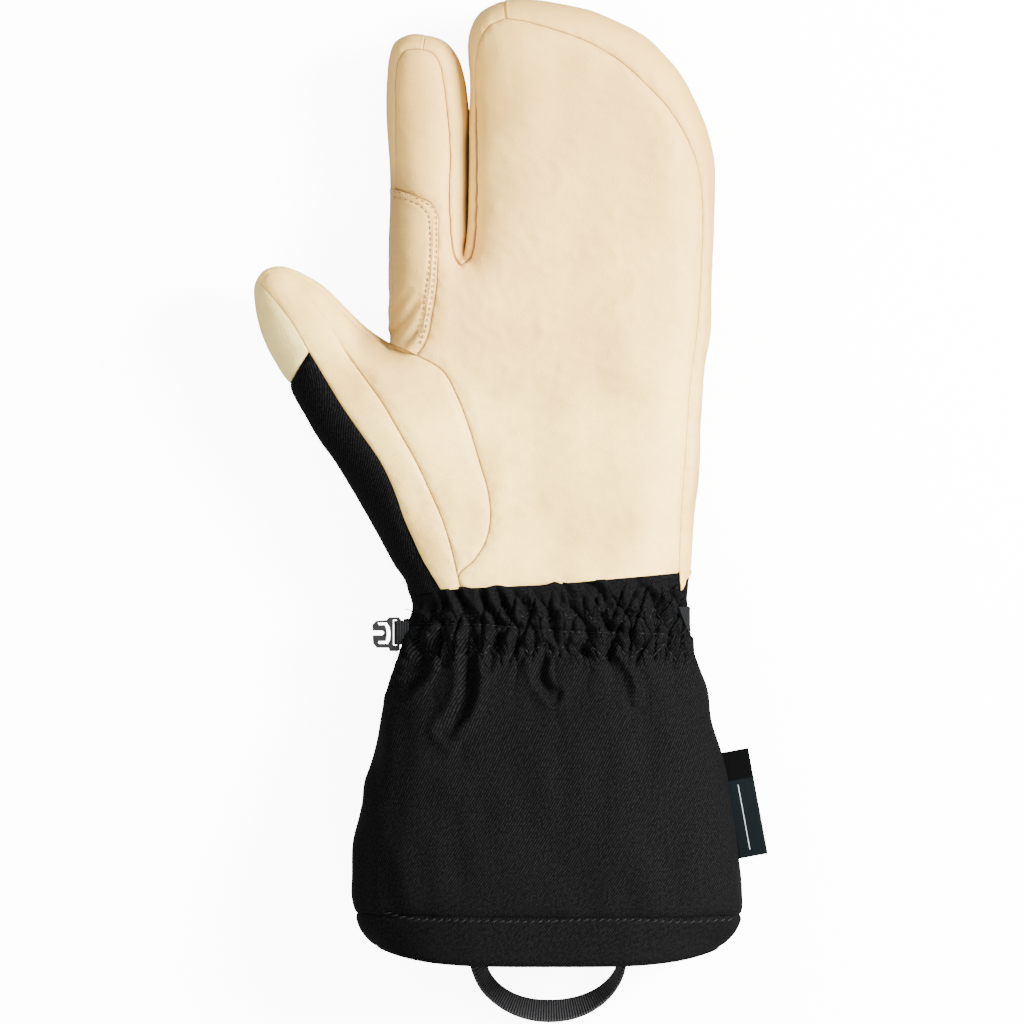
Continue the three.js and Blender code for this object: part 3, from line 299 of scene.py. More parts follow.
def smooth(knots: Array, steps: int = STEPS) -> Array:
    """A smooth line through knots, cut in `steps` between each two.

    It is a cubic whose slope at a knot weighs the two neighbouring chords by each other's length.

    Args:
        knots: the points, one a row.
        steps: cuts between two knots.

    Returns:
        The points of the line.
    """
    knots = np.asarray(knots, float)
    run = np.diff(knots, axis=0)
    chord = np.maximum(np.linalg.norm(run, axis=1), 1e-9)
    rate = run / chord[:, None]
    weight = (chord[:-1] / (chord[:-1] + chord[1:]))[:, None]
    slope = np.vstack([rate[:1], mix(rate[:-1], rate[1:], weight), rate[-1:]])
    t = (np.arange(steps) / steps)[None, :, None]
    rise = 3 * t**2 - 2 * t**3
    bow = chord[:, None, None] * t * (1 - t) * ((1 - t) * slope[:-1, None] - t * slope[1:, None])
    line = mix(knots[:-1, None], knots[1:, None], rise) + bow
    return np.vstack([line.reshape(-1, knots.shape[1]), knots[-1:]])


def straight(a: Array, b: Array, cuts: int) -> Array:
    """A straight line from a to b in `cuts` steps."""
    return mix(np.asarray(a), np.asarray(b), np.linspace(0, 1, cuts + 1)[:, None])


def join(*lines: Array) -> Array:
    """Lines that start where the one before ends, as one."""
    return np.vstack([lines[0], *[line[1:] for line in lines[1:]]])


def recut(line: Array, count: int) -> Array:
    """The same polyline with `count` points, at even steps of its own index."""
    at = np.linspace(0, len(line) - 1, count)
    return np.stack([np.interp(at, np.arange(len(line)), v) for v in line.T], -1)


def reaches(line: Array) -> Array:
    """The length of a polyline from its start to each of its points."""
    return np.concatenate([[0], np.linalg.norm(np.diff(line, axis=0), axis=1).cumsum()])


def resample(values: Array, at: Array) -> Array:
    """Values along the first axis at fractional places, by a cubic through the neighbours.

    Args:
        values: values at whole places along the first axis.
        at: the places.

    Returns:
        One value for each place.
    """
    last = len(values) - 1
    i = np.clip(np.floor(at).astype(int), 0, last - 1)
    t = (at - i).reshape((-1,) + (1,) * (values.ndim - 1))
    before, a, b, after = (values[np.clip(i + k, 0, last)] for k in (-1, 0, 1, 2))
    slope_a = (b - before) / 2
    slope_b = (after - a) / 2
    rise = 3 * t**2 - 2 * t**3
    return mix(a, b, rise) + t * (1 - t) * ((1 - t) * slope_a - t * slope_b)


def resample_round(grid: Array, at: Array) -> Array:
    """A grid whose rows are closed rings, resampled round them."""
    wrapped = np.concatenate([grid[:, -3:-1], grid, grid[:, 1:3]], 1).transpose(1, 0, 2)
    made = resample(wrapped, at + 2).transpose(1, 0, 2)
    made[:, -1] = made[:, 0]
    return made


def crowded(count: int, share: float, last: float) -> Array:
    """Places from 0 to `last` that crowd towards both ends, by a sine of that share."""
    s = np.linspace(0, 1, count + 1)
    return last * (s - share * np.sin(2 * np.pi * s) / (2 * np.pi))


def distance_to(points: Array, line: Array) -> Array:
    """Distance of each point from a polyline: the least of those from its stretches."""
    best = np.full(len(points), 1e9)
    for a, b in zip(line[:-1], line[1:]):
        run = b - a
        t = np.clip((points - a) @ run / max(run @ run, 1e-12), 0, 1)
        best = np.minimum(best, np.linalg.norm(points - a - t[:, None] * run, axis=1))
    return best


def noise(points: Array, size: float, seed: int) -> Array:
    """Soft bumps between -1 and 1: the sum of sine waves in random directions."""
    count = 9
    rng = np.random.default_rng(seed)
    waves = unit(rng.normal(size=(count, 3))) * (2 * np.pi / size) * rng.uniform(0.6, 1.5, (count, 1))
    phase = rng.uniform(0, 2 * np.pi, count)
    return np.sin(points @ waves.T + phase).sum(-1) / 4


class Skin:
    """The mitt's outer skin as heights above the plane, from its silhouette and sections."""

    def __init__(self) -> None:
        """Works out the silhouette from the tables."""
        sides = np.array(CUFF_SIDES)
        half = [mix(WRIST_WIDTH, CUFF_WIDTH, np.minimum(sides[:, n], 1.02)) / 2 for n in (1, 2)]
        left = np.stack([-half[0], -sides[:, 0] * CUFF_LENGTH], -1)
        right = np.stack([half[1], -sides[:, 0] * CUFF_LENGTH], -1)
        self.cleft_bottom = place([-26, CLEFT_ROOT])
        self.crotch = place(ROOT_ROWS[0][:2])
        self.thumb_line = smooth(
            np.vstack([left[::-1], column(THUMB_ROWS, 0), column(THUMB_SIDE_ROWS, 1)[::-1]])
        )
        self.finger_line = smooth(
            np.vstack(
                [
                    column(ROOT_ROWS, 0),
                    column(INDEX_ROWS, 0),
                    column(INDEX_ROWS, 3)[::-1],
                    self.cleft_bottom[None],
                    column(MAIN_ROWS, 0),
                    column(MAIN_ROWS, 3)[::-1],
                    column(PALM_ROWS, 3)[::-1],
                    right,
                ]
            )
        )
        ends = [[[v[0], -1.5 * CUFF_LENGTH]] for v in (self.thumb_line[0], self.finger_line[-1])]
        outline = np.vstack([ends[0], join(self.thumb_line, self.finger_line), ends[1]])
        self.start = outline[:-1]
        run = np.diff(outline, axis=0)
        self.length = np.linalg.norm(run, axis=1)
        self.way = run / self.length[:, None]
        self.thumb_way = unit(np.array([-110.0, 177.0]))

    def thumb_edge(self, first: int, last: int) -> Array:
        """The silhouette along the thumb from one knot to another."""
        return self.thumb_line[first * STEPS : last * STEPS + 1]

    def finger_edge(self, first: int, last: int) -> Array:
        """The silhouette round the fingers from one knot to another."""
        return self.finger_line[first * STEPS : last * STEPS + 1]

    def rim(self, side: int, y: Array) -> Array:
        """How far across the silhouette's left or right side is."""
        left = self.thumb_line[: (CUFF_KNOT + RIM_SPARE) * STEPS]
        right = self.finger_line[(WRIST_KNOT - RIM_SPARE) * STEPS :][::-1]
        line = left if side < 0 else right
        return np.interp(y, line[:, 1], line[:, 0])

    def depth(self, xy: Array) -> Array:
        """Smooth distance into the mitt from its silhouette.

        The inverse cubes of the distances to all the silhouette's points, added up along each
        stretch, give the distance to the nearest and round its ridges.

        Args:
            xy: places in millimetres.

        Returns:
            One distance for each place.
        """
        batch = 4000
        out = np.empty(len(xy))
        for first in range(0, len(xy), batch):
            delta = xy[first : first + batch, None] - self.start
            off = np.abs(delta[..., 0] * self.way[:, 1] - delta[..., 1] * self.way[:, 0])
            foot = (delta * self.way).sum(-1)
            beyond = np.maximum(np.maximum(-foot, foot - self.length), 0)
            off = np.maximum(off, np.maximum(1e-4, 0.01 * beyond))
            total = 0
            for s in (self.length - foot, foot):
                total = total + s / (2 * off**2 * (off**2 + s**2)) + np.arctan(s / off) / (2 * off**3)
            out[first : first + batch] = (total.sum(-1) / (np.pi / 2)) ** (-1 / 3)
        return out

    def section(self, xy: Array) -> Array:
        """The section at each place, blended between the regions by smooth steps.

        Args:
            xy: places in millimetres.

        Returns:
            For each place the middle, half thickness, rounding depth and squareness.
        """
        x, y = xy.T
        bottom = self.cleft_bottom[1]
        up = ease((y - bottom + 8) / 30)
        line = INDEX_EDGE * HAND_WIDTH / 100 + INDEX_WIDTH - 1.8 * ease(1 - (y - bottom) / 18)
        spread = 0.4 + 0.6 * np.maximum(bottom - y, 0)
        index = up * ease(0.5 + (line - x) / (2 * spread))
        delta = xy - self.crotch
        out = -delta[:, 0] * self.thumb_way[1] + delta[:, 1] * self.thumb_way[0]
        thumb = ease((out + 6) / 22) * ease((y - 8) / 45)
        palm, finger, thumb_end, wrist_end, cuff_end = (
            np.array(v, float)
            for v in (PALM_SECTION, INDEX_SECTION, THUMB_SECTION, WRIST_SECTION, CUFF_SECTION)
        )
        found = mix(palm, finger, index[:, None])
        found = mix(found, thumb_end, thumb[:, None])
        found[:, 0] += TIP_LIFT * ease((y / HAND_LENGTH - 0.72) / 0.28)
        wrist = 1 - ease(y / (0.16 * HAND_LENGTH))
        found = mix(found, wrist_end, wrist[:, None])
        cuff = ease((-y / CUFF_LENGTH - 0.06) / 0.75)
        return mix(found, cuff_end, cuff[:, None])

    def height(self, xy: Array, side: Array) -> Array:
        """Height of the skin above each place.

        From the silhouette in it rises by a superellipse of the section, and a bell-shaped mound
        lies on the ball of the thumb.

        Args:
            xy: places in millimetres.
            side: for each place 1 for the front or -1 for the back.

        Returns:
            One height for each place.
        """
        middle, half, round_, power = self.section(xy).T
        depth = self.depth(xy)
        rise = half * (1 - (1 - np.minimum(depth / round_, 1)) ** power) ** (1 / power)
        delta = xy - place([-36, 24])
        along = (delta @ self.thumb_way) / 34
        across = (delta[:, 0] * self.thumb_way[1] - delta[:, 1] * self.thumb_way[0]) / 16
        mound = THUMB_MOUND * np.exp(-(along**2) - across**2) * ease(depth / 10)
        return np.where(side > 0, middle + rise + mound, np.maximum(middle - 1.1 * rise, 0))

    def points(self, xy: Array, side: Array) -> Array:
        """Points of the skin above a grid of places; `side` has a value for each place."""
        flat = xy.reshape(-1, 2)
        z = self.height(flat, np.broadcast_to(side, xy.shape[:-1]).reshape(-1))
        return np.concatenate([flat, z[:, None]], -1).reshape(*xy.shape[:-1], 3)

    def lifted(self, line: Array, side: Side) -> Array:
        """A line on the plane brought to the skin's front or back."""
        return self.points(line, side.value * np.ones(len(line)))

    def front(self, xy: Array) -> tuple[Array, Array]:
        """The front above places, with its slope taken between two near places each way."""
        step = 0.4
        ones = np.ones(len(xy))
        slope = [
            (self.height(xy + move, ones) - self.height(xy - move, ones)) / (2 * step)
            for move in (np.array([step, 0]), np.array([0, step]))
        ]
        normal = unit(np.stack([-slope[0], -slope[1], ones], -1))
        return np.concatenate([xy, self.height(xy, ones)[:, None]], -1), normal


def lengths(grid: Array) -> Array:
    """Texture places of a grid: the length along each row, and along the middle column.

    Args:
        grid: points, rows by columns by 3.

    Returns:
        Rows by columns by 2, the first counted from the middle column.
    """
    rows, columns = grid.shape[:2]
    across = np.linalg.norm(np.diff(grid, axis=1), axis=-1).cumsum(1)
    across = np.pad(across, ((0, 0), (1, 0)))
    across = across - across[:, columns // 2][:, None]
    along = np.linalg.norm(np.diff(grid, axis=0), axis=-1).cumsum(0)
    along = np.pad(along, ((1, 0), (0, 0)))
    along = np.broadcast_to(along[:, columns // 2][:, None], (rows, columns))
    return np.stack([across, along], -1)


@dataclass
class Surface:
    """Faces on the skin, from one or more grids of points that share their seams.

    Attributes:
        name: the piece's name.
        grids: arrays of points, rows by columns by 3, in millimetres.
        sides: for each grid 1 or -1 for each column, the way its faces look (up or down).
        laid: for each grid the texture places of its points.
    """

    name: str
    grids: list[Array] = field(default_factory=list)
    sides: list[Array] = field(default_factory=list)
    laid: list[Array] = field(default_factory=list)

    def add(self, points: Array, side: Number = 1, laid: Array | None = None) -> "Surface":
        """Adds a grid of points."""
        self.grids.append(points)
        self.sides.append(np.broadcast_to(side, points.shape[1]))
        self.laid.append(lengths(points) if laid is None else laid)
        return self

    def weld(self, closed: bool = False) -> None:
        """Numbers the points with equal places as one and works out faces and directions.

        Each square of a grid gives two triangles. The faces of a closed body look out of it, by
        the sign of its volume. A surface that only looks up or down has no direction that leans
        the other way, so its wall can't fold out of the mitt.

        Args:
            closed: whether the grids make a closed body.
        """
        points = []
        uv = []
        faces = []
        base = 0
        for grid, side, laid in zip(self.grids, self.sides, self.laid):
            rows, columns = grid.shape[:2]
            ids = base + np.arange(rows * columns).reshape(rows, columns)
            square = [ids[:-1, :-1], ids[:-1, 1:], ids[1:, 1:], ids[1:, :-1]]
            a, b, c, d = (v.reshape(-1) for v in square)
            tris = np.concatenate([np.stack([a, b, c], -1), np.stack([a, c, d], -1)])
            flat = grid.reshape(-1, 3)
            p, q, r = (flat[tris[:, n] - base] for n in range(3))
            rise = np.cross(q - p, r - p)[:, 2]
            look = np.broadcast_to(side, (rows, columns)).reshape(-1)[tris[:, 0] - base]
            if (rise * look).sum() < 0:
                tris = tris[:, ::-1]
            points.append(flat)
            uv.append(laid.reshape(-1, 2))
            faces.append(tris)
            base += rows * columns
        points, uv, faces = (np.concatenate(v) for v in (points, uv, faces))
        keys = np.round(points * WELD).astype(np.int64)
        _, first, number = np.unique(keys, axis=0, return_index=True, return_inverse=True)
        number = number.reshape(-1)
        self.points = points[first]
        self.number = number
        if closed:
            faces = outward(points, faces)
        tris = number[faces]
        whole = (tris[:, 0] != tris[:, 1]) & (tris[:, 1] != tris[:, 2]) & (tris[:, 2] != tris[:, 0])
        self.faces = tris[whole]
        self.corners = uv[faces[whole]].reshape(-1, 2)
        self.normals = self.directions(self.points)
        looks = np.unique(np.concatenate(self.sides))
        if len(looks) == 1 and not closed:
            up = looks[0] * self.normals[:, 2]
            self.normals[:, 2] = looks[0] * np.where(up < 0.3, 0.8, up)
            self.normals = unit(self.normals)

    def directions(self, points: Array) -> Array:
        """Directions out of the surface: at each point the sum of its faces' cross products."""
        a, b, c = (points[self.faces[:, n]] for n in range(3))
        normal = np.cross(b - a, c - a)
        total = np.zeros_like(points)
        for n in range(3):
            np.add.at(total, self.faces[:, n], normal)
        return unit(total)

    def border(self) -> Array:
        """Edges that only one face has, in that face's order: those whose reverse no face has.

        Returns:
            Two point numbers for each edge.
        """
        count = len(self.points)
        pairs = np.concatenate([self.faces[:, [0, 1]], self.faces[:, [1, 2]], self.faces[:, [2, 0]]])
        key = pairs[:, 0] * count + pairs[:, 1]
        back = pairs[:, 1] * count + pairs[:, 0]
        return pairs[~np.isin(key, back)]

    def build(
        self, moved: Array, thickness: Number, material: Material, values: dict[str, Array]
    ) -> Object:
        """Makes the closed wall as an object.

        The inner face lies a thickness inside the outer one, along each point's direction, which
        leans towards the vertical on a surface that only looks up or down.

        Args:
            moved: the outer face's points after its folds and seams are pressed in.
            thickness: the wall's thickness in millimetres, one value or one for each point.
            material: its finish.
            values: named values, one for each point, that the finish reads.

        Returns:
            The object, its place in its mesh.
        """
        count = len(self.points)
        looks = np.unique(np.concatenate(self.sides))
        inward = self.normals
        if len(looks) == 1:
            inward = unit(inward + 1.5 * looks[0] * UP)
        inner = moved - inward * thickness
        a, b = self.border().T
        sides = np.concatenate([np.stack([b, a, a + count], -1), np.stack([b, a + count, b + count], -1)])
        faces = np.concatenate([self.faces, self.faces[:, ::-1] + count, sides])
        turned = self.corners.reshape(-1, 3, 2)[:, ::-1].reshape(-1, 2)
        corners = np.concatenate([self.corners, turned, np.zeros((len(sides) * 3, 2))])
        doubled = {name: np.concatenate([v, v]) for name, v in values.items()}
        return make_object(self.name, np.concatenate([moved, inner]), faces, material, corners, doubled)


def outward(points: Array, faces: Array) -> Array:
    """Faces of a closed body turned so that they look out of it.

    The sum of the triple products of the faces' corners has the sign of the body's volume.
    """
    a, b, c = (points[faces[:, n]] for n in range(3))
    return faces[:, ::-1] if (a * np.cross(b, c)).sum() < 0 else faces


def make_object(
    name: str,
    points: Array,
    faces: Array,
    material: Material,
    corners: Array | None = None,
    values: dict[str, Array] | None = None,
    sharp: float = 40.0,
) -> Object:
    """A mesh object from triangles, in metres and in the shared frame.

    Args:
        name: the object's name.
        points: points in millimetres from the wrist's middle.
        faces: three point numbers for each face.
        material: its finish.
        corners: texture place of each face corner in millimetres.
        values: named values for each point.
        sharp: edges that turn by more degrees than this are sharp.

    Returns:
        The object, linked to the scene.
    """
    points = np.concatenate([points[:, :2], np.maximum(points[:, 2:], FLOOR_GAP)], -1)
    mesh = bpy.data.meshes.new(name)
    place_in_frame = (points + np.array(HAND_ORIGIN)) * MM
    mesh.vertices.add(len(points))
    mesh.vertices.foreach_set("co", place_in_frame.astype(np.float32).reshape(-1))
    mesh.loops.add(faces.size)
    mesh.loops.foreach_set("vertex_index", faces.astype(np.int32).reshape(-1))
    mesh.polygons.add(len(faces))
    mesh.polygons.foreach_set("loop_start", np.arange(0, faces.size, 3, dtype=np.int32))
    mesh.update(calc_edges=True)
    mesh.validate()
    mesh.polygons.foreach_set("use_smooth", np.ones(len(mesh.polygons), bool))
    if corners is not None and len(corners) == len(mesh.loops):
        layer = mesh.uv_layers.new(name="cloth")
        layer.data.foreach_set("uv", (corners * MM).astype(np.float32).reshape(-1))
    for key, value in (values or {}).items():
        attribute = mesh.attributes.new(key, "FLOAT", "POINT")
        attribute.data.foreach_set("value", value.astype(np.float32))
    mesh.set_sharp_from_angle(angle=math.radians(sharp))
    mesh.materials.append(material)
    return link(bpy.data.objects.new(name, mesh))


def link(item: Object) -> Object:
    """An object put into the scene."""
    bpy.context.scene.collection.objects.link(item)
    return item


class Tree:
    """A material's node tree, built node by node."""

    def __init__(self, name: str) -> None:
        """Starts the material's nodes."""
        self.material = bpy.data.materials.new(name)
        self.material.use_nodes = True
        self.nodes = self.material.node_tree.nodes
        self.links = self.material.node_tree.links
        self.nodes.clear()
        self.shader = self.add("ShaderNodeBsdfPrincipled")
        output = self.add("ShaderNodeOutputMaterial")
        self.link(self.shader.outputs[0], output.inputs[0])

    def add(self, kind: str, settings: dict | None = None, **inputs: Value) -> bpy.types.Node:
        """Adds a node."""
        node = self.nodes.new(kind)
        for key, value in (settings or {}).items():
            setattr(node, key, value)
        for key, value in inputs.items():
            self.put(node, key.replace("_", " "), value)
        return node

    def put(self, node: bpy.types.Node, key: str | int, value: Value) -> None:
        """Sets or links one input of a node, by its name or number."""
        socket = node.inputs[key]
        if isinstance(value, Socket):
            self.link(value, socket)
        else:
            socket.default_value = value

    def link(self, source: Socket, target: Socket) -> None:
        """Joins two sockets."""
        self.links.new(source, target)

    def noise(
        self,
        scale: float,
        detail: float = 4.0,
        roughness: float = 0.55,
        vector: Socket | None = None,
        **settings: str,
    ) -> Socket:
        """Adds a noise texture."""
        node = self.add("ShaderNodeTexNoise", settings, Scale=scale, Detail=detail, Roughness=roughness)
        self.link(vector or self.place(), node.inputs["Vector"])
        return node.outputs[0]

    def place(self) -> Socket:
        """Object coordinates."""
        return self.add("ShaderNodeTexCoord").outputs["Object"]

    def place_axes(self) -> tuple[Socket, Socket]:
        """Object coordinates across the palm and up it."""
        split = self.add("ShaderNodeSeparateXYZ", Vector=self.place())
        return split.outputs[0], split.outputs[1]

    def cloth(self) -> Socket:
        """The piece's own texture places."""
        return self.add("ShaderNodeUVMap", {"uv_map": "cloth"}).outputs[0]

    def value(self, name: str) -> Socket:
        """A named value of the mesh's points."""
        return self.add("ShaderNodeAttribute", {"attribute_name": name}).outputs["Fac"]

    def math(self, operation: str, *values: Value) -> Socket:
        """Works values out with each other, the first two first.

        Args:
            operation: what to do with each two.
            *values: numbers or sockets.

        Returns:
            The socket of the result.
        """
        made = values[0]
        for value in values[1:] or (0.0,):
            node = self.add("ShaderNodeMath", {"operation": operation})
            self.put(node, 0, made)
            self.put(node, 1, value)
            made = node.outputs[0]
        return made

    def range(
        self, value: Value, low: float, high: float, to_low: float = 0.0, to_high: float = 1.0
    ) -> Socket:
        """Brings a value from one range to another by a smooth step, held at its ends."""
        node = self.add("ShaderNodeMapRange", {"interpolation_type": "SMOOTHSTEP"})
        for key, number in enumerate((value, low, high, to_low, to_high)):
            self.put(node, key, number)
        return node.outputs[0]

    def blend(self, factor: Value, a: Colour | Socket, b: Colour | Socket) -> Socket:
        """Mixes two colours."""
        node = self.add("ShaderNodeMix", {"data_type": "RGBA"})
        self.put(node, 0, factor)
        self.put(node, 6, a)
        self.put(node, 7, b)
        return node.outputs[2]

    def bump(
        self, height: Socket, distance: float, strength: float = 1.0, normal: Socket | None = None
    ) -> Socket:
        """Adds a bump."""
        node = self.add("ShaderNodeBump", Strength=strength, Distance=distance, Height=height)
        if normal is not None:
            self.link(normal, node.inputs["Normal"])
        return node.outputs[0]

    def ribs(self, vector: Socket, direction: str, scale: float, **inputs: float) -> Socket:
        """Adds a wave texture of straight ribs."""
        settings = {"bands_direction": direction}
        node = self.add("ShaderNodeTexWave", settings, Vector=vector, Scale=scale, **inputs)
        return node.outputs[0]

    def finish(self, gloss: float | None = None, **inputs: Value) -> Material:
        """Sets the shader's inputs."""
        if gloss is not None:
            self.put(self.shader, "Specular IOR Level", gloss)
        for key, value in inputs.items():
            self.put(self.shader, key.replace("_", " "), value)
        return self.material


def colour(value: int) -> Colour:
    """A screen colour, such as 0xFF8000, as linear light."""
    parts = [((value >> shift) & 255) / 255 for shift in (16, 8, 0)]
    return (*[p / 12.92 if p <= 0.04045 else ((p + 0.055) / 1.055) ** 2.4 for p in parts], 1.0)


@dataclass(frozen=True)
class Leather:
    """Soft full-grain leather: mottled and finely grained, with painted shade along its seams, in its
    creases, on its steep sides and in the cleft.
    """

    name: str
    light: int
    dark: int
    blush: int
    # seam: the brown of the painted shade in seam grooves, in creases, on steep sides and on the hand's
    # shaded parts
    seam: int
    gloss: float = 0.38

    def build(self) -> Material:
        """Makes the material.

        Returns:
            The material.
        """
        tree = Tree(self.name)
        tone = self.shade(tree, self.mottle(tree))
        dark = colour(self.dark)
        seam = colour(self.seam)
        # Painted shade: darker within 3 mm of a seam, browner by the "fold" value, and a painted shadow line
        # in each seam's groove.
        tone = tree.blend(tree.range(tree.value("seam"), 0.0, 3.0, 0.22, 0.0), tone, dark)
        tone = tree.blend(tree.range(tree.value("fold"), 0.0, 2.0, 0.0, 0.95), tone, seam)
        tone = tree.blend(tree.range(tree.value("seam"), 0.0, 0.45, 0.72, 0.0), tone, seam)
        rough = tree.range(tree.noise(60, 4), 0.3, 0.7, 0.5, 0.64)
        return tree.finish(self.gloss, Base_Color=tone, Roughness=rough, Normal=self.grain(tree))

    def mottle(self, tree: Tree) -> Socket:
        """The hide's own colour: broad clouds, a warm blush and fine flecks."""
        broad = tree.range(tree.noise(26, 5, 0.6), 0.36, 0.66, 0.0, 0.85)
        tone = tree.blend(broad, colour(self.light), colour(self.dark))
        warm = tree.range(tree.noise(11, 2, 0.5), 0.5, 0.7)
        tone = tree.blend(tree.math("MULTIPLY", warm, 0.45), tone, colour(self.blush))
        fleck = tree.range(tree.noise(420, 5, 0.6), 0.35, 0.75, 0.0, 0.22)
        return tree.blend(fleck, tone, colour(self.dark))

    def shade(self, tree: Tree, tone: Socket) -> Socket:
        """Paints shade into the hide where less light falls: darker towards the fingertips, the outer side
        and the index finger, browner at the tips and the index finger's root.

        Args:
            tree: the material's nodes.
            tone: the colour so far.

        Returns:
            The socket of the colour.
        """
        across, up = tree.place_axes()
        beside_thumb = tree.range(across, -0.058, -0.049)
        # Painted shade: the index finger lies on the side turned from the light, so it is darkened.
        index = tree.math(
            "MULTIPLY", tree.range(across, -0.015, -0.046), tree.range(up, 0.03, 0.07), beside_thumb
        )
        # Painted shade: darker towards the fingertips and on the outer side.
        high = tree.range(up, 0.045, 0.17, 0.0, 0.75)
        right = tree.range(across, 0.055, 0.07, 0.0, 0.45)
        shade = tree.math("ADD", high, right, tree.math("MULTIPLY", index, 0.85))
        tone = tree.blend(tree.math("MINIMUM", shade, 1.0), tone, colour(self.dark))
        # Painted shade: browner at the fingertips, the outer side and the index finger.
        tips = tree.range(up, 0.16, 0.178, 0.0, 0.1)
        side = tree.range(across, 0.058, 0.07, 0.0, 0.07)
        painted_brown_shade = tree.math("ADD", tips, tree.math("MULTIPLY", index, 0.1), side)
        tone = tree.blend(painted_brown_shade, tone, colour(self.seam))
        # Painted shade: browner at the index finger's root, on the wear patch's left.
        root = tree.math(
            "MULTIPLY",
            tree.range(up, 0.05, 0.06),
            tree.range(up, 0.125, 0.112),
            tree.range(across, -0.028, -0.044, 0.0, 0.5),
            beside_thumb,
        )
        return tree.blend(root, tone, colour(self.seam))

    def grain(self, tree: Tree) -> Socket:
        """Fine grain cells, under short creases in patches, under long soft folds.

        Args:
            tree: the material's nodes.

        Returns:
            The socket of the directions.
        """
        cells = tree.add(
            "ShaderNodeTexVoronoi", {"feature": "DISTANCE_TO_EDGE"}, Scale=1300.0, Vector=tree.place()
        )
        first = tree.bump(tree.range(cells.outputs[0], 0.0, 0.25), 0.0001, 0.6)
        creases = tree.noise(150, 4, 0.6, noise_type="RIDGED_MULTIFRACTAL")
        where = tree.range(tree.noise(14, 2), 0.45, 0.65, 0.25, 1.0)
        second = tree.bump(tree.math("MULTIPLY", creases, where), 0.001, 0.6, first)
        long_folds = tree.noise(34, 5, 0.5, noise_type="RIDGED_MULTIFRACTAL")
        return tree.bump(long_folds, 0.002, 0.5, second)


@dataclass(frozen=True)
class Twill:
    """Black shell cloth with a fine diagonal weave."""

    name: str
    warp: int
    weft: int
    rib: float = 0.00076
    lean: float = -35.0
    gloss: float = 0.03

    def build(self) -> Material:
        """Makes the material: ribs across the piece's own places, broken up by noise.

        Returns:
            The material.
        """
        tree = Tree(self.name)
        turned = tree.add(
            "ShaderNodeMapping", Vector=tree.cloth(), Rotation=(0, 0, math.radians(self.lean))
        )
        ribs = tree.ribs(
            turned.outputs[0], "X", RIB / self.rib, Distortion=0.7, Detail=1.0, Detail_Scale=0.6
        )
        fibre = tree.noise(2600, 3, 0.6, tree.cloth())
        patchy = tree.range(tree.noise(1300, 3, 0.6, tree.cloth()), 0.35, 0.65, 0.1, 1.0)
        sharp = tree.math("MULTIPLY", tree.range(ribs, 0.25, 0.8), patchy)
        tone = tree.blend(sharp, colour(self.warp), colour(self.weft))
        normal = tree.bump(fibre, 0.00006, 0.5, tree.bump(ribs, 0.00012, 0.5))
        rough = tree.range(fibre, 0.3, 0.7, 0.78, 0.92)
        return tree.finish(self.gloss, Base_Color=tone, Roughness=rough, Normal=normal)


@dataclass(frozen=True)
class Webbing:
    """Ribbed webbing: cross ribs along its length, darker between them."""

    name: str
    light: int
    dark: int
    rib: float = 0.0009
    gloss: float = 0.08

    def build(self) -> Material:
        """Makes the material: ribs along the ribbon's own places.

        Returns:
            The material.
        """
        tree = Tree(self.name)
        ribs = tree.ribs(tree.cloth(), "Y", RIB / self.rib, Distortion=0.5)
        tone = tree.blend(ribs, colour(self.dark), colour(self.light))
        fibre = tree.noise(3000, 3, 0.6)
        normal = tree.bump(fibre, 0.00006, 0.5, tree.bump(ribs, 0.0002, 0.7))
        rough = tree.range(fibre, 0.3, 0.7, 0.6, 0.8)
        return tree.finish(self.gloss, Base_Color=tone, Roughness=rough, Normal=normal)


@dataclass(frozen=True)
class Tag:
    """A woven tag: a black block above a slate one with a thin pale line down it."""

    name: str
    top: int
    low: int
    line: int
    between: int = 0x050607
    block_starts: float = 0.0102
    line_across: float = -0.0007
    line_half: float = 0.0001
    line_starts: float = 0.0120
    line_ends: float = 0.0350
    gloss: float = 0.03

    def build(self) -> Material:
        """Makes the material: the blocks and the line follow the tag's own places.

        Returns:
            The material.
        """
        tree = Tree(self.name)
        split = tree.add("ShaderNodeSeparateXYZ", Vector=tree.cloth())
        across, along = split.outputs[0], split.outputs[1]
        block = tree.range(along, self.block_starts, self.block_starts + 0.0002)
        tone = tree.blend(block, colour(self.top), colour(self.low))
        beside = tree.math("ABSOLUTE", tree.math("ADD", across, -self.line_across))
        line = tree.math(
            "MULTIPLY",
            tree.range(beside, self.line_half, self.line_half + 0.00008, 1.0, 0.0),
            tree.range(along, self.line_starts, self.line_starts + 0.0001),
            tree.range(along, self.line_ends, self.line_ends + 0.0001, 1.0, 0.0),
        )
        tone = tree.blend(line, tone, colour(self.line))
        ribs = tree.ribs(tree.cloth(), "Y", 900.0)
        tone = tree.blend(tree.math("MULTIPLY", ribs, 0.3), tone, colour(self.between))
        rough = tree.range(tree.noise(2000, 2), 0.3, 0.7, 0.6, 0.75)
        normal = tree.bump(ribs, 0.00006, 0.6)
        return tree.finish(self.gloss, Base_Color=tone, Roughness=rough, Normal=normal)


@dataclass(frozen=True)
class Plastic:
    """Moulded plastic with a fine satin texture."""

    name: str
    light: int
    dark: int
    gloss: float = 0.3

    def build(self) -> Material:
        """Makes the material.

        Returns:
            The material.
        """
        tree = Tree(self.name)
        tone = tree.blend(tree.range(tree.noise(300, 3), 0.4, 0.6), colour(self.light), colour(self.dark))
        rough = tree.range(tree.noise(900, 3), 0.35, 0.65, 0.3, 0.42)
        normal = tree.bump(tree.noise(4000, 2), 0.00002, 0.4)
        return tree.finish(self.gloss, Base_Color=tone, Roughness=rough, Normal=normal)


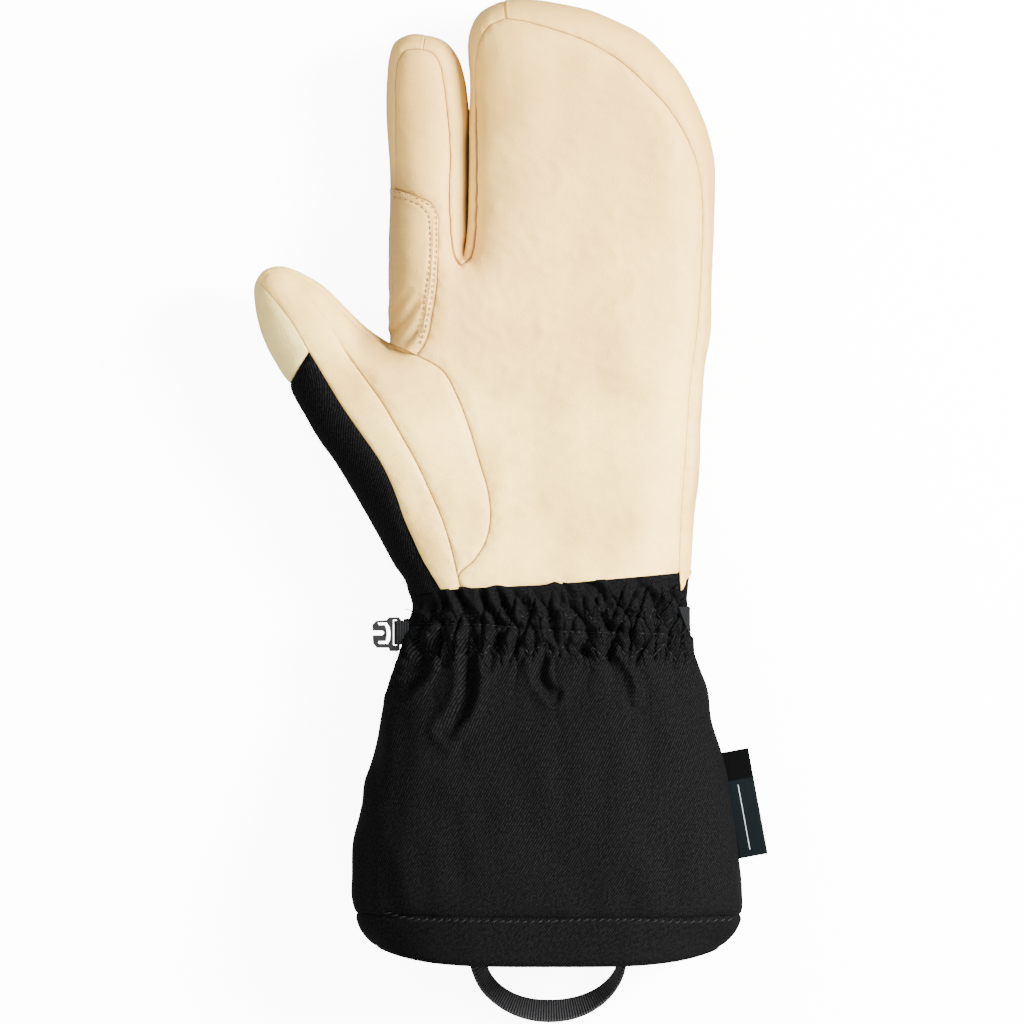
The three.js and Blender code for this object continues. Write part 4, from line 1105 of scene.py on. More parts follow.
@dataclass(frozen=True)
class Thread:
    """Sewing thread with a slight twist in its shade."""

    name: str
    light: int
    dark: int
    rough: float = 0.55
    gloss: float = 0.1

    def build(self) -> Material:
        """Makes the material.

        Returns:
            The material.
        """
        tree = Tree(self.name)
        tone = tree.blend(tree.range(tree.noise(2500, 2), 0.35, 0.65), colour(self.light), colour(self.dark))
        normal = tree.bump(tree.noise(6000, 2), 0.00003, 0.5)
        return tree.finish(self.gloss, Base_Color=tone, Roughness=self.rough, Normal=normal)


# Light, dark and blush are the hide's own; the fourth is the brown of its painted shade, and dark is also
# the painted shade by seams and on the shaded parts.
LEATHER_TAN = Leather("tan leather", 0xF7D072, 0xD3A752, 0xE8B768, 0x57432A)
LEATHER_CAP = Leather("cap leather", 0xDCC478, 0xC8AC5C, 0xD0B264, 0x5E4820)
TWILL = Twill("black twill", 0x020202, 0x151516)
WEBBING = Webbing("ribbed webbing", 0x3A3A3B, 0x0B0B0C)
STRAP = Webbing("strap webbing", 0x131415, 0x050506)
CLIP = Plastic("clip plastic", 0x101012, 0x0B0B0C)
TAN_THREAD = Thread("tan thread", 0x957450, 0x775B3C)
BLACK_THREAD = Thread("black thread", 0x1C1C1D, 0x101011)
TAG = Tag("woven tag", 0x000000, 0x070C0E, 0x9FAAAE)


@dataclass(frozen=True)
class Crease:
    """A fold pressed into cloth along a line seen from the palm.

    Attributes:
        line: its points in millimetres from the wrist's middle.
        width: how far it spreads to each side.
        depth: how deep it is, negative for a ridge.
    """

    line: tuple
    width: float
    depth: float

    def press(self, xy: Array) -> Array:
        """How far it moves each place in: a bell-shaped valley between two low shoulders."""
        line = smooth(np.array(self.line, float), 5)
        away = distance_to(xy, line) / self.width
        start = np.linalg.norm(xy - line[0], axis=1)
        end = np.linalg.norm(xy - line[-1], axis=1)
        fade = ease(np.minimum(start, end) / (0.3 * reaches(line)[-1]) + 0.25)
        return self.depth * fade * (bell(away) - 0.35 * bell(away - 1.9))


def seen(*points: tuple[float, float]) -> tuple:
    """Points of the front in millimetres, given in steps of SEEN_STEP from its upper left corner."""
    return tuple(
        ((x - SEEN_MIDDLE[0]) * SEEN_STEP, (SEEN_MIDDLE[1] - y) * SEEN_STEP) for x, y in points
    )


def seam_groove(away: Array, depth: float = 1.0, width: float = 2.2) -> Array:
    """How far a seam pulls the cloth in: a tight exponential step in a soft bell-shaped roll."""
    return depth * (0.75 * np.exp(-away / 0.4) + 0.45 * bell(away / width))


@dataclass
class Seams:
    """The seams between the hand's panels, as lines on the plane, each cut the same for both."""

    skin: Skin

    def __post_init__(self) -> None:
        """Works out the lines from the seam tables."""
        palm = [column(PALM_ROWS, n) for n in range(3)]
        index = [column(INDEX_ROWS, n) for n in range(4)]
        main = [column(MAIN_ROWS, n) for n in range(4)]
        self.thumb_root = smooth(palm[0][: PATCH_START + 1])
        self.patch_front = smooth(np.vstack([palm[0][PATCH_START:], index[1][: PATCH_END + 1]]))
        self.index_outer = smooth(index[1][PATCH_END:])
        self.split = smooth(palm[1])
        self.around_cleft = smooth(np.vstack([index[2][::-1], palm[1][-1:], main[1]]))
        bottom = len(index[2]) * STEPS
        self.index_inner = self.around_cleft[: bottom + 1][::-1]
        self.main_inner = self.around_cleft[bottom:]
        self.main_outer = smooth(np.vstack([palm[2], main[2]]))
        back = np.stack([np.full(PATCH_END, place([BACK_SEAM_X, 0])[0]), index[1][:PATCH_END, 1]], -1)
        self.root_back = smooth(np.vstack([column(ROOT_ROWS, 1), back, index[1][PATCH_END][None]]))
        self.index_top = straight(self.index_outer[-1], self.index_inner[-1], STEPS)
        self.main_top = straight(self.main_outer[-1], self.main_inner[-1], STEPS)
        self.thumb_mid = smooth(column(THUMB_ROWS, 2))
        self.thumb_outer = smooth(column(THUMB_ROWS, 1))
        self.thumb_side = [smooth(column(THUMB_SIDE_ROWS, n)) for n in (0, 2)]
        meet = self.thumb_side[0][MEET_ROW * STEPS]
        halfway = smooth(np.vstack([self.thumb_mid[-1], mix(self.thumb_mid[-1], meet, 0.5)]))
        self.mid_end = join(halfway, straight(halfway[-1], meet, STEPS))
        self.cap_past = straight(self.thumb_outer[-1], self.thumb_side[0][-1], CAP_PAST * STEPS)


@dataclass
class Panels:
    """Makes grids of skin points between seams."""

    skin: Skin
    fine: int = 3  # rows of a finished grid to each row of a base grid

    def rows(self, base: Array, at: Array) -> Array:
        """A base grid refined along its rows and resampled along its columns."""
        grid = resample(base, np.linspace(0, len(base) - 1, (len(base) - 1) * self.fine + 1))
        return resample(grid.transpose(1, 0, 2), at).transpose(1, 0, 2)

    def across(self, start: Array, end: Array, cuts: int, columns: int, side: Side) -> Array:
        """A panel straight across between two seams."""
        t = np.linspace(0, 1, cuts + 1)[None, :, None]
        base = self.skin.points(mix(start[:, None], end[:, None], t), side.value)
        return self.rows(base, crowded(columns, 0.8, cuts))

    def around(
        self, front: Array, edge: Array, back: Array, cuts: tuple[int, int], columns: int
    ) -> tuple[Array, Array]:
        """A strip from a seam on the front, over the silhouette, to a seam on the back.

        Places in the base grid lie at a share t to the power 2.5 of the way in from the edge,
        which keeps its points at even steps round the section.

        Args:
            front: points of the front seam.
            edge: as many points of the silhouette.
            back: as many points of the back seam.
            cuts: base columns in front of and behind the edge.
            columns: columns of the finished grid.

        Returns:
            Points, rows by columns by 3, and the side that each column looks to.
        """
        t = np.concatenate([-np.linspace(1, 0, cuts[0] + 1)[:-1], np.linspace(0, 1, cuts[1] + 1)])
        share = (np.abs(t) ** 2.5)[None, :, None]
        goal = np.where((t < 0)[None, :, None], front[:, None], back[:, None])
        xy = mix(edge[:, None], goal, share)
        side = np.where(t < 0, 1, -1)
        base = self.skin.points(xy, side[None])
        middle = self.skin.section(edge)[:, 0]
        base[:, cuts[0], 2] = np.maximum(middle, 0)
        at = crowded(columns, 0.75, sum(cuts))
        return self.rows(base, at), np.where(at <= cuts[0], 1, -1)


@dataclass
class Piece:
    """One sewn piece of the mitt and how its face is finished.

    Attributes:
        surface: its face.
        seams: the lines that it is sewn along.
        nodes: the solids that it stands for.
        slot: the name of its material slot; not used.
        thickness: its wall's thickness.
        swell: how uneven its padding is.
        proud: how far its front stands out.
        creases: folds in its front.
        groove: how deep its seams are.
        bulge: how far its steep sides stand out into the gap between the fingers.
        faint: places, each with a size, near which the seams nearly vanish.
        thin: places, each with a size, near which the wall is thin, since it turns sharply there.
    """

    surface: Surface
    seams: list[Array]
    nodes: tuple[str, ...]
    slot: str
    thickness: float
    swell: float = 0.25
    proud: float = 0.0
    creases: tuple[Crease, ...] = ()
    groove: float = 1.0
    bulge: float = 0.0
    faint: tuple = ()
    thin: tuple = ()

    def build(self, material: Material) -> Object:
        """Presses in the seams and creases, works out the painted shade of its steep sides, cleft and
        creases, closes the wall and puts it on the frame.

        Args:
            material: its finish.

        Returns:
            The object.
        """
        shape = self.surface
        shape.weld()
        y, z = shape.points[:, 1:].T
        up = shape.normals[:, 2]
        away = self.away()
        inside = ease(away / 5)
        move = self.proud * np.clip(1.6 * up, 0, 1) - seam_groove(away, self.groove)
        move += self.bulge * (1 - up**2) * ease((184 - y) / 22)
        move += self.swell * inside * noise(shape.points, 24, 3)
        move += 0.22 * self.swell * noise(shape.points, 7, 5) * inside
        move += 0.16 * noise(shape.points, 4.2, 8) * bell((away - 1.2) / 1.6)
        # Painted shade: the "fold" value browns the steep sides, the cleft between the fingers and each
        # crease's valley.
        fold = 0.32 * ease((0.55 - up) / 0.5)
        deep = ease((27 - z) / 5) * ease((178 - y) / 18)
        fold += 2.2 * deep * (self.bulge > 0)
        for crease in self.creases:
            pressed = np.where(z > 15, crease.press(shape.points[:, :2]), 0)
            fold += np.maximum(pressed, 0)
            move -= pressed
        moved = shape.points + shape.normals * move[:, None]
        item = shape.build(moved, self.wall(), material, {"seam": away, "fold": fold})
        return settle(item, self.nodes)

    def away(self) -> Array:
        """Distance of each point of the face from the nearest seam, a little more where faint."""
        points = self.surface.points
        away = np.full(len(points), 50.0)
        for line in self.seams:
            away = np.minimum(away, distance_to(points, line))
        for x, y, size in self.faint:
            away = away + 1.2 * bell(np.linalg.norm(points[:, :2] - (x, y), axis=1) / size)
        return away

    def wall(self) -> Array:
        """Thickness of the wall at each point, in a column, a tenth of it at the thin places."""
        points = self.surface.points
        wall = np.full(len(points), self.thickness)
        for x, y, size in self.thin:
            near = np.linalg.norm(points[:, :2] - (x, y), axis=1)
            wall *= mix(0.08, 1, ease((near - 0.3 * size) / (0.7 * size)))
        return wall[:, None]


def settle(item: Object, nodes: tuple[str, ...]) -> Object:
    """Puts a piece on the frame in place of its solid."""
    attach(item, "root")
    if nodes:
        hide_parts(*nodes)
    log.info("%s: %d faces", item.name, len(item.data.polygons))
    return item


WRINKLES = (
    Crease(seen((391, 339), (405, 322), (420, 300)), 1.3, 0.75),
    Crease(seen((404, 349), (412, 338), (421, 330)), 1.1, 0.7),
    Crease(seen((394, 322), (402, 306), (410, 292)), 1.2, 0.45),
    Crease(seen((391, 300), (397, 284), (402, 262)), 1.6, 0.35),
    Crease(seen((410, 344), (418, 330), (424, 312)), 0.9, 0.35),
)
MAIN_JOINT = Crease(seen((503.5, -6), (504, 3), (505, 22)), 0.45, 0.45)
INDEX_JOINT = Crease(seen((427, 28), (426, 36), (422.5, 52)), 0.4, 0.4)
SIDE_RIDGE = Crease(seen((704, 130), (707, 220), (698, 387), (692, 470), (683, 553)), 0.9, -0.4)
PATCH_STITCHES = {
    "patch_edge_stitches": seen(
        (395, 191), (410, 195.5), (425, 203), (434.5, 211), (435.8, 225), (436, 250), (434.8, 275),
        (430.5, 312), (424, 338), (419, 350),
    ),
    "patch_inner_stitches": seen(
        (395, 197), (411, 201.5), (422, 208), (428.5, 217), (430, 230), (430.5, 250), (429.5, 272),
        (426, 300), (423, 325), (420, 344),
    ),
}


@dataclass
class Hand:
    """The leather hand: palm, gussets, fourchette, wear patch and the cloth back.

    Attributes:
        skin: the mitt's outer skin.
        seams: the seams on it.
        panels: makes its grids.
        patch_proud: how far the wear patch stands out.
        patch_wall: how much thicker its wall is than the leather's.
        stitches_proud: how high its stitches lie above the skin.
    """

    skin: Skin
    seams: Seams
    panels: Panels
    patch_proud: float = 0.9
    patch_wall: float = 0.5
    stitches_proud: float = 0.8

    def build(self, tan: Material, cloth: Material, thread: Material) -> None:
        """Builds all its pieces."""
        self.palm(tan)
        self.back(cloth)
        self.strips(tan)
        self.wear_patch(tan, thread)

    def front(self, line: Array) -> Array:
        """A seam line on the skin's front."""
        return self.skin.lifted(line, Side.FRONT)

    def low(self, line: Array) -> Array:
        """A seam line on the skin's back."""
        return self.skin.lifted(line, Side.BACK)

    def palm(self, tan: Material) -> None:
        """The palm's one piece of leather: a panel to the index finger, and one to the others."""
        s = self.seams
        index_outer = join(s.thumb_root, s.patch_front, s.index_outer)
        index_inner = join(s.split, s.index_inner)
        main_inner = join(s.split, s.main_inner)
        face = Surface("palm_front")
        face.add(self.panels.across(index_outer, index_inner, 12, 40, Side.FRONT), 1)
        face.add(self.panels.across(main_inner, s.main_outer, 22, 66, Side.FRONT), 1)
        wrist = np.array([column(PALM_ROWS[:1], n)[0] for n in range(3)])
        sewn = (index_outer, s.around_cleft, s.main_outer, s.index_top, s.main_top, wrist)
        lines = [self.front(line) for line in sewn]
        Piece(face, lines, ("palm_panel",), "tan_leather", LEATHER, 0.32).build(tan)

    def back(self, cloth: Material) -> None:
        """The cloth back of the hand, cut like the palm."""
        s = self.seams
        index_back = join(s.thumb_root, s.root_back, s.index_outer)
        index_inner = join(s.split, s.index_inner)
        main_inner = join(s.split, s.main_inner)
        coarse = Panels(self.skin, 1)
        face = Surface("hand_back")
        face.add(coarse.across(index_back, index_inner, 10, 14, Side.BACK), -1)
        face.add(coarse.across(main_inner, s.main_outer, 18, 26, Side.BACK), -1)
        Piece(face, [], ("back_panel",), "black_fabric", LEATHER, 0).build(cloth)

    def strips(self, tan: Material) -> None:
        """The strips round the outer side, through the cleft and round the index finger."""
        s = self.seams
        finger = self.skin.finger_edge
        seam = join(s.main_outer, s.main_top)
        edge = finger(MAIN_TIP_KNOT, WRIST_KNOT)[::-1]
        outer = Surface("outer_strip").add(*self.panels.around(seam, edge, seam, (7, 7), 26))
        creases = (SIDE_RIDGE, MAIN_JOINT)
        lines = [self.front(seam), self.low(seam)]
        piece = Piece(outer, lines, ("outer_gusset",), "tan_leather", LEATHER, creases=creases)
        piece.build(tan)
        seam = s.around_cleft
        edge = finger(INDEX_TIP_KNOT, MAIN_TIP_KNOT)
        cleft = Surface("cleft_strip").add(*self.panels.around(seam, edge, seam, (6, 6), 22))
        lines = [self.front(seam), self.low(seam)]
        Piece(cleft, lines, ("fourchette",), "tan_leather", LEATHER, 0.1, bulge=0.95).build(tan)
        seam = join(s.index_outer, s.index_top)
        edge = finger(PATCH_KNOT, INDEX_TIP_KNOT)
        index = Surface("index_strip").add(*self.panels.around(seam, edge, seam, (7, 7), 22))
        lines = [self.front(seam), self.low(seam)]
        piece = Piece(
            index, lines, ("index_gusset",), "tan_leather", LEATHER, 0.12, creases=(INDEX_JOINT,)
        )
        piece.build(tan)

    def wear_patch(self, tan: Material, thread: Material) -> None:
        """The wear patch, wrinkled and grooved under its two rows of stitches.

        Args:
            tan: the leather.
            thread: the thread.
        """
        s = self.seams
        edge = self.skin.finger_edge(0, PATCH_KNOT)
        grid, side = self.panels.around(s.patch_front, edge, s.root_back, (12, 6), 44)
        face = Surface("wear_patch").add(grid, side)
        grooves = tuple(Crease(line, 0.55, 0.4) for line in PATCH_STITCHES.values())
        Piece(
            face,
            [self.front(s.patch_front)],
            ("index_patch",),
            "tan_leather",
            LEATHER + self.patch_wall,
            proud=self.patch_proud,
            creases=WRINKLES + grooves,
            groove=0.9,
        ).build(tan)
        for name, line in PATCH_STITCHES.items():
            sewn = Stitches(name, smooth(np.array(line), 4), 1.25, 0.75, 0.2, 0.25)
            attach(sewn.build(self.on_patch, thread), "root")

    def on_patch(self, xy: Array) -> tuple[Array, Array]:
        """Points of the wear patch's face above places, and the directions out of it."""
        points, normals = self.skin.front(xy)
        return points + normals * self.stitches_proud, normals


@dataclass
class ThumbShape:
    """The thumb: palm lobe, long front strip, inner gusset, tip cap and cloth outer side.

    Attributes:
        skin: the mitt's outer skin.
        seams: the seams on it.
        panels: makes its grids.
        faint: places, each with a size, where the middle seam nearly vanishes.
        thin_root: the gusset's sharp turn at the crotch, with a size.
        thin_tip: the cap's sharp turn at the tip, with a size.
    """

    skin: Skin
    seams: Seams
    panels: Panels
    faint: tuple = (
        (*seen((300, 296))[0], 9.0),
        (*seen((322, 330))[0], 7.0),
        (*seen((286, 272))[0], 8.0),
    )
    thin_root: tuple = (-55, 89.7, 7)
    thin_tip: tuple = (-99.5, 110.6, 12)

    def build(self, tan: Material, cap: Material, cloth: Material) -> None:
        """Builds all its pieces."""
        self.front_pieces(tan)
        self.gusset(tan)
        self.outer_side(cap, cloth)

    def front_pieces(self, tan: Material) -> None:
        """The lobe on the palm side and the long strip beside it."""
        s = self.seams
        lift = partial(self.skin.lifted, side=Side.FRONT)
        front = s.thumb_side[0]
        inner = join(s.thumb_root[STEPS:], front[: (MEET_ROW - 1) * STEPS + 1])
        middle = join(s.thumb_mid[STEPS:], s.mid_end)
        middle[0] = inner[0]
        lobe = Surface("thumb_lobe").add(self.panels.across(middle, inner, 10, 36, Side.FRONT), 1)
        lines = [lift(s.thumb_mid), lift(s.mid_end), lift(s.thumb_root), lift(front)]
        Piece(
            lobe, lines, ("thumb_palm",), "tan_leather", LEATHER, 0.3, faint=self.faint
        ).build(tan)
        outer = join(s.thumb_outer, straight(s.thumb_outer[-1], front[-1], STEPS))
        outer = join(outer, front[(MEET_ROW + 1) * STEPS :][::-1])
        middle = join(s.thumb_mid, s.mid_end)
        strip = Surface("thumb_front_strip")
        strip.add(self.panels.across(outer, middle, 8, 24, Side.FRONT), 1)
        lines = [lift(outer), lift(middle)]
        Piece(
            strip, lines, ("thumb_strip",), "tan_leather", LEATHER, 0.2, faint=self.faint
        ).build(tan)

    def gusset(self, tan: Material) -> None:
        """The strip on the thumb's inner side, from the crotch over the tip."""
        front, back = self.seams.thumb_side
        edge = self.skin.thumb_edge(THUMB_TIP_KNOT + 1, CROTCH_KNOT)[::-1]
        strip = Surface("thumb_inner_strip")
        strip.add(*self.panels.around(front, edge, back, (6, 8), 28))
        lines = [self.skin.lifted(front, Side.FRONT), self.skin.lifted(back, Side.BACK)]
        Piece(
            strip, lines, ("thumb_gusset",), "tan_leather", LEATHER, 0.15, thin=(self.thin_root,)
        ).build(tan)

    def outer_side(self, cap: Material, cloth: Material) -> None:
        """The cap on the tip and the cloth below it, from the outer seam round to the back.

        Args:
            cap: the cap's leather.
            cloth: the cloth.
        """
        s = self.seams
        back = s.thumb_side[1]
        seam = join(s.thumb_outer[CAP_START * STEPS :], s.cap_past)
        past = recut(self.skin.thumb_edge(THUMB_TIP_KNOT, THUMB_TIP_KNOT + 1), CAP_PAST * STEPS + 1)
        edge = join(self.skin.thumb_edge(CAP_KNOT, THUMB_TIP_KNOT), past)
        border = self.border_line(seam[0], edge[0], back[0])
        face = Surface("tip_cap").add(*self.panels.around(seam, edge, back, (8, 10), 40))
        lines = [self.skin.lifted(seam, Side.FRONT), border]
        Piece(
            face, lines, ("thumb_cap",), "cap_leather", LEATHER, 0.15, thin=(self.thin_tip,)
        ).build(cap)
        seam = s.thumb_outer[: CAP_START * STEPS + 1]
        edge = self.skin.thumb_edge(CUFF_KNOT, CAP_KNOT)
        face = Surface("thumb_side")
        face.add(*self.panels.around(seam, edge, s.thumb_root, (8, 12), 40))
        lines = [self.skin.lifted(seam, Side.FRONT), border]
        Piece(face, lines, ("thumb_back",), "black_fabric", LEATHER, 0.2).build(cloth)

    def border_line(self, front: Array, edge: Array, back: Array) -> Array:
        """The cap's lower edge, from the front seam round to the back seam."""
        over = self.skin.lifted(straight(front, edge, 12), Side.FRONT)
        under = self.skin.lifted(straight(edge, back, 16), Side.BACK)
        return np.vstack([over, under])


HEM_STITCHES = (
    (386, 909), (396, 912), (417, 916), (470, 916.5), (532, 917.5), (582, 915.5), (632, 915.5),
    (682, 918.5), (738, 916.5),
)
FOLDS = (
    Crease(seen((470, 640), (469, 680), (465, 702), (447, 729)), 2.2, 3.6),
    Crease(seen((437, 638), (427, 655), (420, 672), (399, 692)), 2.2, 3.0),
    Crease(seen((496, 640), (487, 664)), 1.9, 2.2),
    Crease(seen((547, 650), (541, 665), (542, 680), (553, 694)), 1.9, 2.4),
    Crease(seen((580, 580), (595, 587), (607, 605), (611, 612)), 1.7, 2.2),
    Crease(seen((600, 618), (610, 627), (627, 632)), 1.7, 2.2),
    Crease(seen((451, 645), (444, 662)), 1.5, 1.6),
    Crease(seen((422, 638), (415, 660), (403, 672)), 1.6, 1.8),
    Crease(seen((619, 652), (632, 675), (637, 697)), 1.8, -1.5),
    Crease(seen((577, 647), (596, 659)), 1.4, 1.6),
    Crease(seen((645, 580), (669, 604)), 1.6, -1.2),
    Crease(seen((455, 590), (467, 609)), 1.3, 1.8),
    Crease(seen((441, 594), (448, 607)), 1.3, 1.6),
    Crease(seen((481, 590), (486, 607)), 1.3, 1.6),
    Crease(seen((497, 593), (508, 612)), 1.3, 1.7),
    Crease(seen((525, 600), (536, 618)), 1.3, 1.5),
    Crease(seen((380, 760), (420, 745), (450, 752)), 5.0, 0.8),
    Crease(seen((372, 812), (410, 800), (470, 815)), 6.0, 0.7),
    Crease(seen((640, 730), (660, 780), (665, 840)), 7.0, 0.8),
)


@dataclass
class Gauntlet:
    """The gathered wrist and long cuff of black twill, with its hem.

    Attributes:
        skin: the mitt's outer skin.
        columns: points round the finished cuff.
        rows: its points from wrist to hem.
        pitch: distance between two gathers.
        elastic: half the wrist's width, where the gathers have that distance.
        upper: height below which the face counts as the back, at the hem and the cuff's middle.
    """

    skin: Skin
    columns: int = 430
    rows: int = 176
    pitch: float = 8.3
    elastic: float = 48.5
    upper: float = 28.0

    def ring(self, left: float, right: float, bend: Bend | None = None, base: int = 132) -> Array:
        """A closed row round the gauntlet, at even steps round the section.

        Args:
            left: share of CUFF_LENGTH below the wrist at the left side.
            right: the same at the right side.
            bend: moves the row's places, given and returned as an array.
            base: points of the row.

        Returns:
            Points, with the first one again at the end.
        """
        angle = np.linspace(0, 2 * np.pi, 721)
        share = 0.5 - 0.5 * np.cos(angle)
        level = mix(-left * CUFF_LENGTH, -right * CUFF_LENGTH, share)
        tips = [level[0], level[360]]
        for _ in range(3):
            reach = [self.skin.rim(s, y) for s, y in zip((-1, 1), tips)]
            xy = np.stack([mix(reach[0], reach[1], share), level], -1)
            xy = xy if bend is None else bend(xy)
            tips = [xy[0, 1], xy[360, 1]]
        raw = self.skin.points(xy, np.where(angle < np.pi, 1, -1))
        raw[::360, 2] = self.skin.section(raw[::360, :2])[:, 0]
        length = reaches(raw)
        goal = np.linspace(0, length[-1], base + 1)
        return np.stack([np.interp(goal, length, v) for v in raw.T], -1)

    def wrist_edge(self, x: Array) -> Array:
        """Height of the hand's lower edge at places across it, with three small sine waves."""
        line = np.array(
            [column(THUMB_ROWS[:1], n)[0] for n in range(2)]
            + [column(PALM_ROWS[:1], n)[0] for n in range(4)]
        )
        wave = 0.5 * np.sin(x / 2.9 + 1) + 0.35 * np.sin(x / 1.7) + 0.3 * np.sin(x / 6.3)
        return np.interp(x, line[:, 0], line[:, 1]) + np.maximum(wave, 0) * ease((39 - x) / 5)

    def body(self) -> Array:
        """The gauntlet's base grid, wrist to hem."""
        table = np.array(GAUNTLET_ROWS)
        last = len(table) - 1
        middle = 7  # the row from which fewer rows are enough
        at = np.concatenate([np.linspace(0, middle, 43), np.linspace(middle, last, 21)[1:]])
        rows = []
        for v in at:
            left, right = (np.interp(v, range(last + 1), table[:, n]) for n in range(2))

            def bend(xy: Array, near: float = max(1 - v, 0)) -> Array:
                """Draws the first rows up to the hand's lower edge."""
                y = mix(xy[:, 1], self.wrist_edge(xy[:, 0]), near)
                return np.stack([xy[:, 0], y], -1)

            rows.append(self.ring(left, right, bend if v < 1 else None))
        return np.stack(rows)

    def pleat(self, x: Array, y: Array) -> Array:
        """Gathers round the elastic: 1 in the valley between two of them and 0 on their ridges.

        Above the middle stitching they lean to the right as they go down, and below it they
        fan out with the cuff. Three slow waves make them uneven.

        Args:
            x: places across.
            y: their heights.

        Returns:
            One less the absolute sine of the turn, to the power 0.75.
        """
        half = np.interp(-y, [0, 20, 60, 110], [self.elastic, 50.5, 60, 68])
        above = np.maximum(y + 9.5, 0)
        at = x * self.elastic / half + 0.55 * above
        uneven = 2.3 * np.sin(at / 11.5 + 0.7) + 1.6 * np.sin(at / 5.3 + 2.1)
        uneven = uneven + 0.7 * np.sin(y / 2.1 + at / 4)
        turn = np.pi * (at + uneven + 3.2) / self.pitch
        return 1 - np.abs(np.sin(turn)) ** 0.75

    def gather_depth(self, x: Array, y: Array) -> Array:
        """How deep the gathers are: full between the stitch rows, dying out exponentially below."""
        reach = 10 * (1 + 0.55 * np.sin(x / 6.1 + 1) + 0.3 * np.sin(x / 2.9))
        below = np.exp(-np.maximum(-19 - y, 0) / np.maximum(reach, 3))
        edge = self.wrist_edge(x)
        above = ease((edge - y) / np.maximum(edge + 2, 2))
        return 1.9 * below * mix(0.25, 1, above)

    def rows_of_stitches(self) -> dict[str, Array]:
        """The stitch rows of the elastic on the front: two zigzags and a straight one between."""
        made = {"middle": np.array(seen((408, 622), (485, 624), (520, 627), (570, 631), (690, 634)))}
        for name, top, bottom, shift in (("upper", 606, 620, 0), ("lower", 641, 656, 9)):
            x = np.arange(412 + shift, 684, 12.2)
            y = np.where(np.arange(len(x)) % 2 == 0, top, bottom) + 1.6 * np.sin(x / 31)
            y = y + (x - 412) * 0.006 + 2.2 * np.sin(x / 2.7 + shift)
            x = x + 2.4 * np.sin(x / 5.1 + 3 * shift)
            made[name] = np.array(seen(*np.stack([x, y], -1)))
        return made

    def fold(self, points: Array) -> Array:
        """How far the gathers, crumples, folds and stitch rows press the cloth in.

        Args:
            points: points of the smooth cuff.

        Returns:
            One depth for each point.
        """
        x, y, z = points.T
        down = -y / CUFF_LENGTH
        front = ease((z - 22) / 8)
        pressed = self.gather_depth(x, y) * self.pleat(np.where(z > 24, x, x + 4), y)
        pressed *= mix(0.3, 1, front)
        band = front * ease((y + 25) / 7) * ease((self.wrist_edge(x) - 1 - y) / 6)
        for size, deep, seed in ((8.5, 1.7, 31), (5.2, 0.7, 32)):
            crumpled = points * np.array([1, 0.4, 1]) + np.array([0.35 * seed, 0, 0])
            wave = noise(crumpled, size, seed)
            pressed += deep * band * (np.maximum(1 - 2.2 * np.abs(wave), 0) ** 1.5 - 0.35)
        for crease in FOLDS:
            pressed += front * crease.press(points[:, :2])
        near = np.flatnonzero((y > -26) & (z > 20))
        for name, line in self.rows_of_stitches().items():
            away = distance_to(points[near, :2], line)
            deep = 1.1 if name == "middle" else 0.8
            pressed[near] += front[near] * deep * bell(away / 1.1)
        puff = 1.1 * bell((y + 4) / 2.4) + 1.2 * bell((y + 13.2) / 2.6)
        pressed -= puff * (1 - self.pleat(x, y)) ** 2 * mix(0.2, 1, front)
        drape = ease((down - 0.12) / 0.3) * (1 - ease((down - 0.8) / 0.06))
        pressed += 0.8 * drape * noise(points * np.array([1, 0.45, 1]), 36, 11)
        pressed += 0.35 * ease((down - 0.1) / 0.1) * noise(points * np.array([1, 0.6, 1]), 15, 12)
        return pressed

    def on_front(self, xy: Array) -> tuple[Array, Array]:
        """Points of the folded front above places, and the directions out of it."""
        points, normals = self.skin.front(xy)
        return points - normals * self.fold(points)[:, None], normals

    def build(self, cloth: Material, thread: Material) -> None:
        """Builds the gauntlet, the hem band and their stitches.

        Args:
            cloth: the twill.
            thread: the stitches' thread.
        """
        item = self.cuff(cloth)
        parts = [self.hem(cloth)]
        for name, line in self.rows_of_stitches().items():
            sewn = Stitches(f"elastic_{name}_stitches", line, 1.7, 0.75, 0.17)
            parts.append(sewn.build(self.on_front, thread, item))
        sewn = Stitches("hem_stitches", np.array(seen(*HEM_STITCHES)), 1.9, 0.75, 0.2, 0.9)
        parts.append(sewn.build(self.skin.front, thread, item))

    def cuff(self, cloth: Material) -> Object:
        """The folded cuff, whose inner face is a coarse plain grid.

        Args:
            cloth: the twill.

        Returns:
            The object.
        """
        base = self.body()
        share = np.linspace(0, 1, self.columns + 1)
        where = (base.shape[1] - 1) * np.interp(share, [0, 0.64, 1], [0, 0.5, 1])
        grid = resample_round(resample(base, np.linspace(0, len(base) - 1, self.rows)), where)
        side = np.where(grid[len(grid) // 2, :, 2] > self.upper, 1, -1)
        laid = lengths(grid)
        face = Surface("cuff_face").add(grid, side, laid)
        face.weld()
        top = np.vstack([base[0], base[0][:1]])
        move = -self.fold(face.points) - seam_groove(distance_to(face.points, base[-1]), 0.8, 1.6)
        move -= seam_groove(distance_to(face.points, top), 0.3, 1.2)
        outer = (face.points + face.normals * move[:, None])[face.number].reshape(grid.shape)
        normals = face.normals[face.number].reshape(grid.shape)
        picked = np.unique(np.linspace(0, self.rows - 1, 16).astype(int))
        depth = FABRIC + 2.4 * np.interp(picked / self.rows, [0, 0.5, 0.8], [1, 0.8, 0])
        inner = grid[picked] - normals[picked] * depth[:, None, None]
        whole = np.concatenate([outer, inner[::-1], outer[:1]])
        places = np.concatenate([laid, laid[picked][::-1], laid[:1]])
        shape = Surface("cuff").add(whole, 1, places)
        shape.weld(closed=True)
        seam = np.minimum(distance_to(shape.points, top), 30)
        item = make_object("cuff", shape.points, shape.faces, cloth, shape.corners, {"seam": seam})
        return settle(item, ("gauntlet",))

